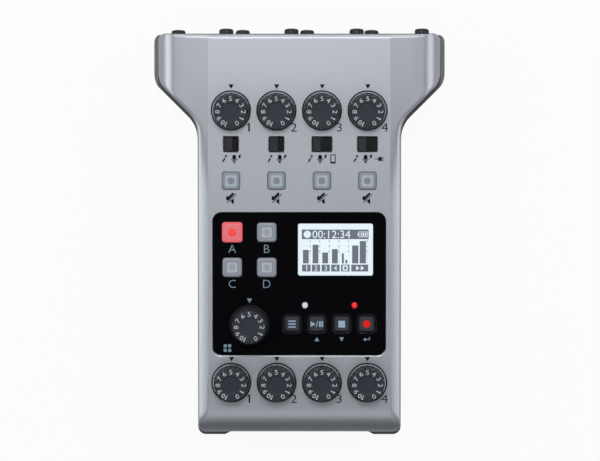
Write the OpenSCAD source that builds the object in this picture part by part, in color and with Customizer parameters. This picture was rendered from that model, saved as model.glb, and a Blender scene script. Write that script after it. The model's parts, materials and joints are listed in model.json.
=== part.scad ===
// A desktop podcast recorder: a sloping console that widens at the rear, with four
// microphone sockets behind, four phones sockets in front, nine turning knobs,
// four slide switches, twelve keys, a display and a battery bay underneath.
// The origin is under the middle of the whole device, +Y is the rear and +Z is up.

/* [Case] */
// Length from the front toes to the rear edge of the top
case_len = 153.5; // [152:0.5:160]
// Width of the narrow front part
body_w = 78; // [77:0.5:82]
// Width across the two rear wings
wing_w = 112; // [110:0.5:116]
// Length of each wing's straight outer edge
wing_side = 17.8; // [16:0.1:20]
// Height of the rear edge of the top above the table
rear_h = 39.3; // [38.5:0.1:42]
// Fall of the top towards the front, in degrees
tilt = 3.7; // [3:0.1:4.2]
// Thickness of the side walls
wall = 2.2; // [1.8:0.1:2.4]
// Thickness of the top panel
roof_t = 2.6; // [2.5:0.1:3]
// Thickness of the floor
floor_t = 2; // [1.6:0.1:2.4]
// Depth of the upper case from its top to the parting line
shell_depth = 10.5; // [9.5:0.1:12]
// Radius of the roll along the front edge of the top
roll_r = 10; // [8:0.5:11]
// Width of the soft band along each narrow side of the top
side_band = 4; // [3:0.1:4.8]
// Fall of the wing tops, in degrees
wing_fall = 4; // [2:0.5:6]
// Radius that rounds the wing tops into their sides
wing_round = 6; // [3:0.5:7]
// Radius of the soft edge along the narrow part
side_round = 6; // [5:0.5:9]
// How far the lower case stands out beyond the upper case at the wings
wing_rim = 2.2; // [1:0.1:2.6]
// How far the lower case stands out beyond the upper case along the narrow part
side_rim = 0.3; // [0.1:0.1:0.6]
// How far the lower case stands out beyond the upper case along the slanting edges
slant_rim = 1.25; // [0.8:0.05:1.6]
// How far the front toes stand out beyond the upper case
toe_reach = 1.8; // [1:0.1:2.4]
// Width of each front toe
toe_w = 10.4; // [8:0.2:12]
// Height of the feet
foot_h = 1.5; // [1:0.1:2.5]
// Diameter of the feet
foot_d = 11; // [8:0.5:12]

/* [Knobs] */
// Distance between the four columns of controls
column_pitch = 17.34; // [17:0.02:18]
// Diameter of a knob at its skirt
knob_d = 15.3; // [13:0.1:15.8]
// Height of a knob
knob_h = 9.2; // [8:0.1:12]
// Number of finger flutes around a knob
knob_flutes = 20; // [12:1:28]
// Depth of a finger flute
flute_depth = 0.4; // [0.2:0.05:0.6]
// Diameter of the control shafts
shaft_d = 6; // [5:0.1:6.4]
// Distance of the gain knobs from the rear edge
gain_row = 28.9; // [28.5:0.1:30]
// Distance of the phones knobs from the front edge of the top
phones_margin = 19.46; // [18:0.02:20]
// Sideways place of the pad level knob
pad_knob_x = -19; // [-21:0.1:-18]
// Distance of the pad level knob from the rear edge
pad_knob_row = 111; // [110:0.1:112]

/* [Switches and keys] */
// Distance of the input switches from the rear edge
switch_row = 41.85; // [41:0.05:42.5]
// Length of a two-way switch opening
switch_two_w = 5.95; // [5.5:0.05:6.5]
// Length of a three-way switch opening
switch_three_w = 7.8; // [7:0.05:8]
// Width of the switch openings
switch_open_h = 5.9; // [5:0.1:6.4]
// Length of a switch slider's cap
slider_w = 3.5; // [3:0.1:4]
// Distance of the mute keys from the rear edge
mute_row = 55.8; // [55:0.1:57]
// Width of a mute key
mute_w = 6.6; // [6:0.1:7]
// Width of a sound pad
pad_w = 7.4; // [7:0.1:8]
// Sideways place of the first sound pad
pad_x = -25.6; // [-26:0.1:-25]
// Distance of the first row of pads from the rear edge
pad_row = 75.55; // [75:0.05:76]
// Distance between pads sideways
pad_pitch_x = 13.2; // [12.8:0.1:13.6]
// Distance between the rows of pads
pad_pitch_y = 13.45; // [13:0.05:13.6]
// Width of a transport key
transport_w = 5.5; // [5:0.1:6]
// Width of the groove ring round a transport key
transport_ring = 0.9; // [0.6:0.05:1]
// Sideways place of the first transport key
transport_x = -2.75; // [-3:0.05:-2.5]
// Distance between the transport keys
transport_pitch = 9.5; // [9.3:0.05:9.7]
// Distance of the transport keys from the rear edge
transport_row = 110.7; // [110:0.1:111.5]
// Travel of the keys
key_travel = 0.7; // [0.4:0.1:1]
// How far the keys stand above the top
key_proud = 0.6; // [0.3:0.1:1.2]

/* [Window and display] */
// Distance of the black control window from the narrow sides
window_margin = 5.9; // [5.4:0.1:6]
// Length of the black control window
window_l = 54.8; // [54.6:0.1:56]
// Distance of the window's middle from the rear edge
window_row = 95.3; // [95:0.1:95.6]
// Thickness of the window sheet
window_t = 1.2; // [1:0.05:1.3]
// Corner radius of the window
window_r = 3.4; // [2:0.1:5]
// Width of the display
display_w = 28.9; // [26:0.1:30]
// Length of the display
display_l = 20.2; // [18:0.1:21]
// Distance of the display from the right edge of the window
display_margin = 4.8; // [4:0.05:5.6]
// Distance of the display from the rear edge
display_row = 82.2; // [81.5:0.1:83]
// Diameter of the indicator lenses
lens_d = 2.4; // [2:0.1:3]
// Sideways place of the left indicator lens
lens_left_x = 2.2; // [1.5:0.1:3]
// Sideways place of the right indicator lens
lens_right_x = 21.1; // [20:0.1:22]
// Distance of the indicator lenses from the rear edge
lens_row = 103.6; // [103:0.1:104]

/* [Rear sockets] */
// Distance between the microphone sockets
xlr_pitch = 24.9; // [24.6:0.1:25.4]
// Height of the microphone sockets above the table
xlr_z = 19.5; // [19:0.1:20]
// Gap between neighbouring socket flanges
flange_gap = 0.8; // [0.4:0.1:1.5]
// Height of a socket flange
flange_h = 29.6; // [29.4:0.1:30]
// Thickness of a socket flange
flange_t = 1.2; // [1:0.1:1.6]
// Bore that takes the plug's shell
xlr_bore_d = 19.2; // [19:0.1:19.4]
// Diameter of the insert that the plug's shell slides over
xlr_insert_d = 15.9; // [15:0.1:16]
// Depth of a socket behind its flange
xlr_depth = 19; // [18:0.5:19.5]
// Diameter of the socket's contact holes
contact_d = 2.4; // [2.2:0.05:2.6]
// Sideways distance between a socket's two screws
screw_dx = 19; // [18:0.5:20]
// Upright distance between a socket's two screws
screw_dz = 24; // [23:0.5:24]
// Diameter of the socket screws' heads
head_d = 5.5; // [5:0.1:5.8]
// Height of the socket screws' heads
head_h = 2.1; // [1.4:0.1:2.4]

/* [Other sockets] */
// Bore of the phones and headset sockets
jack_d = 3.6; // [3.5:0.05:3.8]
// Distance between the phones sockets
jack_pitch = 14; // [12:0.5:14.5]
// Depth of the bore of a jack socket
jack_depth = 12; // [11:0.5:12.5]
// Width of the USB opening
usb_w = 8.34; // [8:0.02:8.6]
// Height of the USB opening
usb_h = 2.66; // [2.5:0.02:2.8]
// Length of the card door
door_l = 15; // [13:0.5:16]
// Height of the card door
door_h = 5.6; // [5.2:0.1:6]

/* [Battery bay] */
// Length of a battery cell without its nub
cell_len = 49.2; // [48:0.1:49.4]
// Diameter of a battery cell
cell_d = 14.2; // [13.5:0.1:14.5]
// Distance of the bay's middle from the rear edge
bay_row = 50.6; // [50:0.1:51]
// Thickness of the battery cover
cover_t = 1.8; // [1.6:0.1:2.2]

/* [Hidden] */
$fn = 64;
arc_steps = 6;

// Named clearances
fit_gap = 0.15;
move_gap = 0.25;
run_gap = 0.05;
grip_gap = 0.03;
far = 300;

// Places that many pieces share
flange_proud = 0.4;
rear_set = flange_t - flange_proud;
rear_proud = flange_proud + head_h;
y_front = -(case_len + rear_proud) / 2;
y_rear = y_front + case_len;
wing_half = wing_w / 2;
body_half = body_w / 2;
top_wing_half = wing_half - wing_rim;
top_body_half = body_half - side_rim;
in_wing_half = top_wing_half - wall;
in_body_half = top_body_half - wall;
bend = tan(22.5);
rear_corner_r = 2.6;
wing_corner_r = 8;
notch_r = 12;
front_corner_r = 3;
toe_ramp = 4;
floor_top = foot_h + floor_t;
front_inner = y_front + toe_reach + fit_gap + wall;
panel_len = (case_len - toe_reach + roll_r * sin(tilt)) / cos(tilt);
flat_half = top_body_half - side_band;
side_turn = asin(side_band / side_round);
lower_waist = 14;
top_bend_row = wing_side + wing_rim - slant_rim * sqrt(2);
in_bend_row = top_bend_row - wall * bend;
// Row where the wings have run out into the narrow part
notch_row = top_bend_row + top_wing_half - top_body_half + notch_r * bend;

// Sideways places follow the width, and rows follow the room between the gain and phones knobs.
// The places above are given for this width and this room.
places_w = 78;
places_l = 104.3;
phones_row = panel_len - phones_margin;
function wide(x) = x * body_w / places_w;
function down(row) = gain_row + (row - gain_row) * (phones_row - gain_row) / places_l;
column_step = wide(column_pitch);
window_w = body_w - 2 * window_margin;
shown_w = wide(display_w);
display_x = window_w / 2 - display_margin - shown_w / 2;

// The control board lies parallel to the top, the main board lies flat
control_top = -(roof_t + 7.4);
board_t = 1.6;
control_low = control_top - board_t;
control_rear = gain_row - 4.9;
control_front = phones_row + 11;
board_edge = 0.4;
main_low = floor_top + 2;
main_top = main_low + board_t;

// Battery bay
cell_gap = 0.4;
contact_room = 2.2;
nub_r = 2.7;
nub_len = 1.3;
bay_wall = 1.2;
bay_half_x = (cell_len + nub_len) / 2 + contact_room;
bay_half_y = cell_d + 1.5 * cell_gap;
bay_y = y_rear - bay_row;
cell_z = foot_h + cover_t + cell_gap + cell_d / 2;
bay_top = cell_z + cell_d / 2 + cell_gap;
cover_ledge = 2;
cover_half_x = bay_half_x + bay_wall + cover_ledge;
cover_half_y = bay_half_y + bay_wall + cover_ledge;
cover_axis_y = bay_y - cover_half_y;
cover_axis_z = foot_h + cover_t;
cover_pin_r = 1;
lug_w = 2.4;
lug_r = 2.3;
curb_t = 1.2;
scoop_r = 9;
scoop_depth = 0.8;
contact_t = 0.4;
leaf_l = 10;

// Case screws and the posts that they stand in
post_r = 2.6;
screw_r = 1.2;
well_r = 2.2;
screw_head_r = 2;
screw_head_h = 1.4;
screw_bite = 5;
screw_web = 2.4;
post_sink = 0.3;
post_x = in_body_half - post_r + post_sink;
post_clear = 1.05;
post_rows = [gain_row - 1.2,
    bay_row + cover_half_y + cover_t + move_gap + curb_t + post_r + post_clear,
    phones_row + 5];
main_rear_y = y_rear - post_rows[1] - post_r - 2 * board_edge;
// Side sockets keep their share of the main board's length, given for this length
places_main = 70.45;
function along(back) = back * (main_rear_y - front_inner) / places_main;
rest_r = 2;
rest_inset = 12;

// Knob proportions
knob_gap = 0.4;
skirt_r = knob_d / 2;
lip_h = 0.6;
bevel_h = 0.7;
barrel_r = skirt_r - 0.65;
barrel_top_r = barrel_r - 0.25;
knob_edge = 0.3;
dish_r = barrel_top_r - 2.6;
dish_depth = 0.2;
flute_r = 1.3;
shaft_r = shaft_d / 2;
shaft_hole_r = shaft_r + 0.8;
socket_depth = knob_h - 2.2;
flat_cut = 0.75;
pot_size = 9.4;
pot_w = wide(pot_size);
pot_top = -(roof_t + 1);

// Switch and key proportions
open_r = 0.6;
slider_drop = 0.4;
slider_plate_t = 0.9;
stem_w = 1.6;
stem_dip = 1.6;
groove_depth = stem_dip + 0.3;
switch_margin = 4;
plunger_r = 1.4;
switch_button_h = 0.8;
switch_top = control_top + 4.2;
key_gap = 0.2;
key_lip = 0.9;
transport_lip = wide(transport_pitch) / 2 - transport_w / 2 - transport_ring - key_gap;
key_flange_t = 0.9;
key_switch_w = 5.6;
key_switch_top = control_top + 3;
key_low = key_switch_top + key_travel + fit_gap;
key_r = 0.9;
ring_drop = 1.1;

// Window and display proportions
window_sink = 0.2;
recess_depth = window_sink + window_t;
boss_root = (roof_t + recess_depth) / 2;
display_r = 0.9;
display_lip = 2.2;
display_sink = 0.15;

// Screw head proportions
head_turn = 75;
head_rim = 0.35;
cross_w = 0.2;
cross_l = 0.6;

// Microphone socket proportions
barrel_wall = 1.2;
xlr_barrel_r = xlr_bore_d / 2 + barrel_wall;
xlr_insert_r = xlr_insert_d / 2;
xlr_floor_t = 4;
insert_tail_r = xlr_insert_r - 0.6;
flange_r = 1.5;
contact_circle = 4.1;
contact_r = contact_d / 2;
contact_wall = 0.4;
insert_sink = 0.3;
xlr_screw_r = 1.4;
input_board_t = 1.6;
xlr_face_y = y_rear + flange_proud;
xlr_back_y = xlr_face_y - flange_t - xlr_depth;

// Side and front sockets
jack_axis_z = main_top + 3.1;
jack_body_w = 8;
jack_body_h = 6.2;
jack_collar_r = jack_d / 2 + 1.1;
headset_back = 41.5;
headset_y = main_rear_y - along(headset_back);
usb_shell = 0.3;
usb_depth = 7.4;
usb_tongue_w = 6.6;
usb_tongue_h = 0.7;
usb_tongue_l = 5;
usb_back = 6.5;
usb_pitch = 12.5;
usb_ys = [main_rear_y - along(usb_back), main_rear_y - along(usb_back + usb_pitch)];
usb_round = 0.45;
usb_back_t = 1;
usb_z = main_top + usb_shell + usb_h / 2;
power_back = 40.5;
power_y = main_rear_y - along(power_back);
power_open_l = 7.5;
power_open_h = 4;
power_cap_l = 4.4;
power_proud = 0.7;
power_z = main_top + 3.4;
power_travel = power_open_l - power_cap_l - 2 * fit_gap;
power_body_h = 5.4;
// The power slider's plate and the face of its switch body behind it
power_plate_x = in_body_half - fit_gap - slider_plate_t;
power_body_x = power_plate_x - 0.4;
card_back = 10.5;
card_y = main_rear_y - along(card_back);
card_w = 11.4;
card_slot_h = 1;
card_socket_w = 14;
card_socket_l = 15;
card_stop_t = 2;
card_socket_h = 2;
door_t = 1.1;
door_pin_r = 0.55;
door_pin_l = 1.4;
door_low = foot_h + floor_t + 1.6;
door_axis_x = -body_half + door_t;
door_axis_z = door_low + door_t;
// Half the length of the card door with its pins, and a little room at their ends
door_reach = door_l / 2 + move_gap + door_pin_l + fit_gap;

// Feet
foot_sink = 0.5;
foot_side = 15;
foot_set = 10;
foot_wing = 11;
foot_back = 13;
foot_front = [body_half - foot_side, y_front + foot_set];
foot_rear = [wing_half - foot_wing, y_rear - foot_back];

MUTE_KEYS = [for (i = [1:4]) str("mute_key_", i)];
PAD_KEYS = [for (i = [1:4]) str("pad_key_", i)];
GAIN_KNOBS = [for (i = [1:4]) str("gain_knob_", i)];
GAIN_SHAFTS = [for (i = [1:4]) str("gain_shaft_", i)];
PHONES_KNOBS = [for (i = [1:4]) str("phones_knob_", i)];
PHONES_SHAFTS = [for (i = [1:4]) str("phones_shaft_", i)];
SLIDERS = [for (i = [1:4]) str("input_slider_", i)];
TRANSPORT_KEYS = ["menu_key", "play_key", "stop_key", "record_key"];

// Outline helpers

function unit(p) = p / norm(p);

// Points of the arc of radius r that rounds the corner at b between a and c
function corner_arc(a, b, c, r) =
    let (u = unit(a - b),
         v = unit(c - b),
         half = acos(u * v) / 2,
         m = b + unit(u + v) * r / sin(half),
         p = b + u * r / tan(half) - m,
         q = b + v * r / tan(half) - m,
         start = atan2(p.y, p.x),
         turn = (atan2(q.y, q.x) - start + 540) % 360 - 180)
    [for (i = [0:arc_steps]) m + r * [cos(start + turn * i / arc_steps), sin(start + turn * i / arc_steps)]];

// An outline from corners [x, y, radius], where radius 0 leaves a sharp corner
function rounded(corners) =
    let (n = len(corners))
    [for (i = [0:n - 1])
        let (a = corners[(i + n - 1) % n], b = corners[i], c = corners[(i + 1) % n])
        each b[2] > 0
            ? corner_arc([a.x, a.y], [b.x, b.y], [c.x, c.y], b[2])
            : [[b.x, b.y]]];

function mirrored(half) =
    concat(half, [for (i = [len(half) - 1:-1:0]) [-half[i].x, half[i].y, half[i][2]]]);

function rect(w, l, r) =
    rounded([[w / 2, l / 2, r], [-w / 2, l / 2, r], [-w / 2, -l / 2, r], [w / 2, -l / 2, r]]);

// The plan of the case: rear wings that step in at 45 degrees to the narrow part
function plan(wing, body, rear, bend_y, inset, front) =
    rounded(mirrored(concat(
        [[wing, rear, rear_corner_r],
         [wing, bend_y, wing_corner_r - inset],
         [body, bend_y - (wing - body), notch_r + inset]],
        front)));

function toes(half, y, reach) =
    [[half, y, front_corner_r], [half - toe_w, y, 0], [half - toe_w - toe_ramp, y + reach, 0]];

// Section across the wings, lowered by drop and narrowed to half
function wing_section(half, drop) =
    let (crease = flat_half,
         edge = -(half - crease) * tan(wing_fall) - drop)
    rounded(mirrored([[half, -far, 0], [half, edge, wing_round], [crease, -drop, 0]]));

// Section across the narrow part, with its soft edge
function body_section(half, drop) =
    let (crease = flat_half,
         edge = [for (i = [0:arc_steps])
             let (a = side_turn * (1 - i / arc_steps))
             [crease + side_round * sin(a) - (top_body_half - half) * (1 - i / arc_steps),
              -side_round * (1 - cos(a)) - drop, 0]])
    [for (p = mirrored(concat([[half, -far, 0]], edge))) [p.x, p.y]];

// Profile along the top, rolled down at the front
function roll_profile(front, drop, r) =
    rounded([[far, -drop, 0], [-front, -drop, r], [-front, -far, 0], [far, -far, 0]]);

// Placing helpers

// The frame of the sloping top: x sideways, y to the rear from the rear edge, z outwards
module on_panel() {
    translate([0, y_rear, rear_h]) rotate([tilt, 0, 0]) children();
}

module at_panel(x, row) {
    on_panel() translate([x, -row, 0]) children();
}

// Turns a shape that is drawn along +Z so that it points along +Y
module to_rear() {
    rotate([-90, 0, 0]) children();
}

// Turns a shape that is drawn along +Z so that it points along +X
module to_right() {
    rotate([0, 90, 0]) children();
}

// Extrudes a section of x and height along the length, between two rows
module along_rows(from, to, points) {
    translate([0, -from, 0]) rotate([90, 0, 0]) linear_extrude(to - from) polygon(points);
}

// Extrudes a profile of y and height right across
module across(points) {
    translate([-far, 0, 0]) rotate([90, 0, 90]) linear_extrude(2 * far) polygon(points);
}

module block(w, l, low, high, r) {
    translate([0, 0, low]) linear_extrude(high - low) polygon(rect(w, l, r));
}

module box(x, y, z) {
    translate([x[0], y[0], z[0]]) cube([x[1] - x[0], y[1] - y[0], z[1] - z[0]]);
}

module rod(r, low, high) {
    translate([0, 0, low]) cylinder(r = r, h = high - low);
}

// Everything on the outer side of a plane parallel to the top
module above_panel(height) {
    on_panel() box([-far, far], [-far, far], [height, far]);
}

function column_x(i) = (i - 1.5) * column_step;
function xlr_x(i) = (i - 1.5) * xlr_pitch;
function jack_x(i) = (i - 1.5) * jack_pitch;
function pad_place(i) =
    [wide(pad_x + (i % 2) * pad_pitch_x), down(pad_row + floor(i / 2) * pad_pitch_y)];
function transport_place(i) = [wide(transport_x + i * transport_pitch), down(transport_row)];
function slider_open(i) = i < 2 ? switch_two_w : switch_three_w;
function slider_travel(i) = slider_open(i) - slider_w - 2 * fit_gap;

// Height of the control board's underside above the table at a row
function post_top(row) = rear_h - row * sin(tilt) + control_low * cos(tilt);

module at_posts() {
    for (side = [-1, 1], row = post_rows)
        translate([side * post_x, y_rear - row, 0]) {
            $post_top = post_top(row);
            children();
        }
}

module at_knobs() {
    for (i = [0:3]) {
        at_panel(column_x(i), gain_row) children();
        at_panel(column_x(i), phones_row) children();
    }
    at_panel(wide(pad_knob_x), down(pad_knob_row)) children();
}

module at_transport() {
    for (i = [0:3]) at_panel(transport_place(i)[0], transport_place(i)[1]) children();
}

module at_pads() {
    for (i = [0:3]) at_panel(pad_place(i)[0], pad_place(i)[1]) children();
}

module at_mutes() {
    for (i = [0:3]) at_panel(column_x(i), down(mute_row)) children();
}

module at_lenses() {
    for (x = [lens_left_x, lens_right_x]) at_panel(wide(x), down(lens_row)) children();
}

module at_feet() {
    for (side = [-1, 1], place = [foot_front, foot_rear])
        translate([side * place.x, place.y, 0]) children();
}

// Case halves and rear panel

// The space inside both case halves, seen from above, in the frame of the top
module inner_space(gap, low) {
    intersection() {
        translate([0, 0, low])
            linear_extrude(-low)
                polygon(plan(in_wing_half - gap, in_body_half - gap, far, -in_bend_row, wall,
                    [[in_body_half - gap, wall - panel_len, front_corner_r / 2]]));
        union() {
            along_rows(-far, notch_row, wing_section(in_wing_half - gap, roof_t + gap));
            along_rows(notch_row, far, body_section(in_body_half - gap, roof_t + gap));
        }
        across(roll_profile(panel_len - wall, roof_t + gap, roll_r - wall));
    }
}

module upper_skin() {
    intersection() {
        translate([0, 0, -shell_depth])
            linear_extrude(shell_depth)
                polygon(plan(top_wing_half, top_body_half, 0, -top_bend_row, 0,
                    [[top_body_half, -panel_len, front_corner_r]]));
        union() {
            along_rows(-far, notch_row, wing_section(top_wing_half, 0));
            along_rows(notch_row, far, body_section(top_body_half, 0));
        }
        across(roll_profile(panel_len, 0, roll_r));
    }
}

module upper_bosses() {
    difference() {
        intersection() {
            at_posts() rod(post_r, 0, rear_h);
            on_panel() box([-far, far], [-far, far], [control_top, -boss_root]);
        }
        at_posts() rod(screw_r + grip_gap, 0, $post_top + board_t + screw_bite + 1);
    }
}

module upper_openings() {
    at_knobs() rod(shaft_hole_r, -far, far);
    for (i = [0:3])
        at_panel(column_x(i), down(switch_row)) block(slider_open(i), switch_open_h, -far, far, open_r);
    at_mutes() block(mute_w + 2 * key_gap, mute_w + 2 * key_gap, -far, far, key_r + key_gap);
    at_panel(0, down(window_row))
        block(window_w + 2 * fit_gap, window_l + 2 * fit_gap, -recess_depth, far, window_r + fit_gap);
    window_openings();
}

// The openings that go through both the control window and the panel under it
module window_openings() {
    pad_open = pad_w + 2 * key_gap;
    ring_open = transport_w + 2 * transport_ring;
    at_pads() block(pad_open, pad_open, -roof_t - 1, far, key_r + key_gap);
    at_transport() block(ring_open, ring_open, -roof_t - 1, far, key_r + transport_ring);
    at_lenses() rod(lens_d / 2 + run_gap, -roof_t - 1, far);
    at_panel(display_x, down(display_row)) block(shown_w, display_l, -roof_t - 1, far, display_r);
}

module upper_case() {
    color("silver") {
        difference() {
            on_panel() difference() {
                upper_skin();
                inner_space(0, -2 * shell_depth);
            }
            upper_openings();
        }
        upper_bosses();
    }
}

// The lower case narrows from its waist to the parting line at the wings
module lower_skin() {
    intersection() {
        translate([0, 0, foot_h])
            linear_extrude(rear_h)
                polygon(plan(wing_half, body_half, y_rear, y_rear - wing_side, 0,
                    toes(body_half, y_front, toe_reach + fit_gap)));
        along_rows(-far, far, rounded(mirrored([
            [wing_half, 0, 0],
            [wing_half, lower_waist, 0],
            [top_wing_half + fit_gap, rear_h - shell_depth, 0],
            [top_wing_half + fit_gap, rear_h, 0]])));
    }
}

module lower_hollow() {
    translate([0, 0, floor_top])
        linear_extrude(rear_h)
            polygon(plan(in_wing_half, in_body_half, far, y_rear - in_bend_row, wall,
                [[in_body_half, front_inner, front_corner_r / 2]]));
}

// The bay's box and the curb that frames the cover
module bay_body() {
    curb_x = cover_half_x + move_gap + lug_w;
    curb_front = cover_axis_y - cover_t - move_gap - curb_t;
    curb_rear = bay_y + cover_half_y + move_gap + curb_t;
    curb_top = cover_axis_z + fit_gap + curb_t;
    box_x = bay_half_x + bay_wall;
    box_y = bay_half_y + bay_wall;
    box([-curb_x, curb_x], [curb_front, curb_rear], [foot_h, curb_top]);
    box([-box_x, box_x], [bay_y - box_y, bay_y + box_y], [foot_h, bay_top + bay_wall]);
    for (side = [-1, 1])
        translate([side * (cover_half_x + move_gap + lug_w / 2), cover_axis_y, 0])
            box([-lug_w / 2, lug_w / 2], [-lug_r, lug_r], [foot_h, cover_axis_z + lug_r]);
}

module bay_openings() {
    open_x = cover_half_x + move_gap;
    box([-bay_half_x, bay_half_x], [bay_y - bay_half_y, bay_y + bay_half_y], [0, bay_top]);
    box([-open_x, open_x],
        [cover_axis_y - cover_t - move_gap, bay_y + cover_half_y + move_gap],
        [0, cover_axis_z + fit_gap]);
    translate([0, cover_axis_y, cover_axis_z])
        to_right() {
            rod(cover_t + move_gap, -open_x, open_x);
            rod(cover_pin_r + run_gap, -open_x - lug_w + curb_t / 4, open_x + lug_w - curb_t / 4);
        }
    translate([0, bay_y + cover_half_y, 0]) rod(scoop_r, 0, foot_h + scoop_depth);
}

module side_openings() {
    for (i = [0:3])
        translate([jack_x(i), y_front, jack_axis_z])
            to_rear() rod(jack_collar_r + fit_gap, -1, front_inner - y_front + 1);
    translate([-body_half, headset_y, jack_axis_z]) to_right() rod(jack_collar_r + fit_gap, -1, 2 * wall);
    for (y = usb_ys)
        translate([body_half, y, usb_z]) usb_slot(usb_w + 2 * usb_shell + 2 * fit_gap,
            usb_h + 2 * usb_shell + 2 * fit_gap, -2 * wall, 1);
    translate([0, power_y, power_z])
        box([in_body_half - 1, body_half + 1], [-power_open_l / 2, power_open_l / 2],
            [-power_open_h / 2, power_open_h / 2]);
    translate([0, card_y, 0])
        box([-body_half - 1, 1 - in_body_half], [-door_l / 2 - move_gap, door_l / 2 + move_gap],
            [door_low - move_gap, door_low + door_h + move_gap]);
    translate([door_axis_x, card_y, door_axis_z])
        to_rear() rod(door_pin_r + run_gap, -door_reach, door_reach);
}

module usb_slot(w, h, low, high) {
    translate([low, 0, 0]) rotate([90, 0, 90]) linear_extrude(high - low)
        polygon(rect(w, h, usb_round * h));
}

module board_rests() {
    for (side = [-1, 1], y = [main_rear_y - rest_inset, front_inner + 2 * rest_inset])
        translate([side * in_body_half / 2, y, 0]) rod(rest_r, foot_h, main_low);
}

module lower_case() {
    color("dimgray") difference() {
        union() {
            difference() {
                lower_skin();
                lower_hollow();
                above_panel(-shell_depth - fit_gap);
            }
            bay_body();
            board_rests();
            difference() {
                at_posts() rod(post_r, foot_h, rear_h);
                above_panel(control_low);
            }
        }
        bay_openings();
        side_openings();
        at_posts() {
            rod(well_r, 0, $post_top - screw_web);
            rod(screw_r + fit_gap, 0, rear_h);
        }
        at_feet() rod(foot_d / 2 + fit_gap, 0, foot_h + foot_sink);
    }
}

module rear_panel() {
    plate_y = y_rear - rear_set;
    color("dimgray") difference() {
        intersection() {
            on_panel() inner_space(fit_gap, -far / 4);
            box([-far, far], [plate_y - wall, plate_y], [floor_top + fit_gap, far]);
        }
        for (i = [0:3]) translate([xlr_x(i), plate_y - 2 * wall, xlr_z]) {
            to_rear() rod(xlr_barrel_r + fit_gap, 0, 3 * wall);
            for (side = [-1, 1])
                translate([side * screw_dx / 2, 0, side * screw_dz / 2])
                    to_rear() rod(xlr_screw_r + grip_gap, 0, 3 * wall);
        }
    }
}

// Window, display and indicators

module control_window() {
    color([0.05, 0.05, 0.06]) difference() {
        at_panel(0, down(window_row)) block(window_w, window_l, -recess_depth, -window_sink, window_r);
        window_openings();
        at_panel(wide(pad_knob_x), down(pad_knob_row)) rod(shaft_hole_r, -far, far);
    }
}

module display_module() {
    frame_w = shown_w + 2 * display_lip;
    frame_l = display_l + 2 * display_lip;
    glass_w = shown_w - 2 * fit_gap;
    glass_l = display_l - 2 * fit_gap;
    color("lightsteelblue") at_panel(display_x, down(display_row)) {
        block(frame_w, frame_l, control_top, -roof_t - fit_gap, display_r);
        block(glass_w, glass_l, -roof_t - 1, -window_sink - display_sink, display_r - fit_gap);
    }
}

module indicator_lenses() {
    color("mistyrose") at_lenses() rod(lens_d / 2, control_top, -window_sink);
}

// Boards and what is fixed to them

module control_board() {
    half = in_body_half - board_edge;
    color("darkgreen") difference() {
        on_panel() box([-half, half], [-control_front, -control_rear], [control_low, control_top]);
        at_posts() rod(screw_r + fit_gap, 0, rear_h);
    }
}

module main_board() {
    half = in_body_half - board_edge;
    color("darkgreen") difference() {
        box([-half, half], [front_inner + board_edge, main_rear_y], [main_low, main_top]);
        at_posts() rod(post_r + board_edge, 0, rear_h);
    }
}

module input_board() {
    half = xlr_x(3) + xlr_insert_r;
    color("darkgreen")
        box([-half, half], [xlr_back_y - input_board_t, xlr_back_y],
            [floor_top + board_edge, xlr_z + xlr_insert_r]);
}

module pot_bodies() {
    color("slategray") at_knobs() difference() {
        block(pot_w, pot_w, control_top, pot_top, open_r);
        rod(shaft_r + run_gap, control_top + board_edge, far);
    }
}

// A slide switch body with the groove that its stem runs in
module switch_body(travel, top) {
    groove = stem_w + 2 * move_gap;
    difference() {
        block(travel + stem_w + switch_margin, stem_w + switch_margin, 0, top, open_r);
        block(travel + groove, groove, top - groove_depth, top + 1, fit_gap);
    }
}

module switch_bodies() {
    color("slategray") {
        for (i = [0:3])
            at_panel(column_x(i), down(switch_row))
                translate([0, 0, control_top]) switch_body(slider_travel(i), switch_top - control_top);
        translate([power_body_x - power_body_h, power_y, power_z])
            rotate([0, 90, 0]) rotate([0, 0, 90]) switch_body(power_travel, power_body_h);
        translate([power_body_x - power_body_h, power_y, 0])
            box([0, power_body_h / 2], [-power_travel, power_travel], [main_top, power_z - stem_w]);
    }
}

module key_switch() {
    rod(plunger_r, control_top, key_switch_top);
    block(key_switch_w, key_switch_w, control_top, key_switch_top - switch_button_h, open_r);
}

module key_switches() {
    color("slategray") {
        at_mutes() key_switch();
        at_pads() key_switch();
        at_transport() key_switch();
    }
}

// Microphone sockets

module at_contacts() {
    for (angle = [-30, 90, 210])
        translate([contact_circle * cos(angle), 0, contact_circle * sin(angle)]) children();
}

module xlr_shells() {
    color([0.12, 0.12, 0.13]) for (i = [0:3]) translate([xlr_x(i), xlr_face_y, xlr_z]) difference() {
        union() {
            rotate([90, 0, 0]) block(xlr_pitch - flange_gap, flange_h, 0, flange_t, flange_r);
            to_rear() rod(xlr_barrel_r, -flange_t - xlr_depth, 0);
        }
        to_rear() rod(xlr_bore_d / 2, -flange_t - xlr_depth + xlr_floor_t, 1);
        to_rear() rod(insert_tail_r + grip_gap, -far, 1);
        for (side = [-1, 1])
            translate([side * screw_dx / 2, 0, side * screw_dz / 2])
                to_rear() rod(xlr_screw_r + fit_gap, -far, 1);
    }
}

module xlr_inserts() {
    color([0.08, 0.08, 0.09]) for (i = [0:3])
        translate([xlr_x(i), xlr_face_y, xlr_z]) difference() {
        to_rear() {
            rod(insert_tail_r, -flange_t - xlr_depth, -insert_sink);
            rod(xlr_insert_r, xlr_floor_t - flange_t - xlr_depth, -insert_sink);
        }
        at_contacts() to_rear() rod(contact_r + contact_wall + grip_gap, -far, 1);
    }
}

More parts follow.
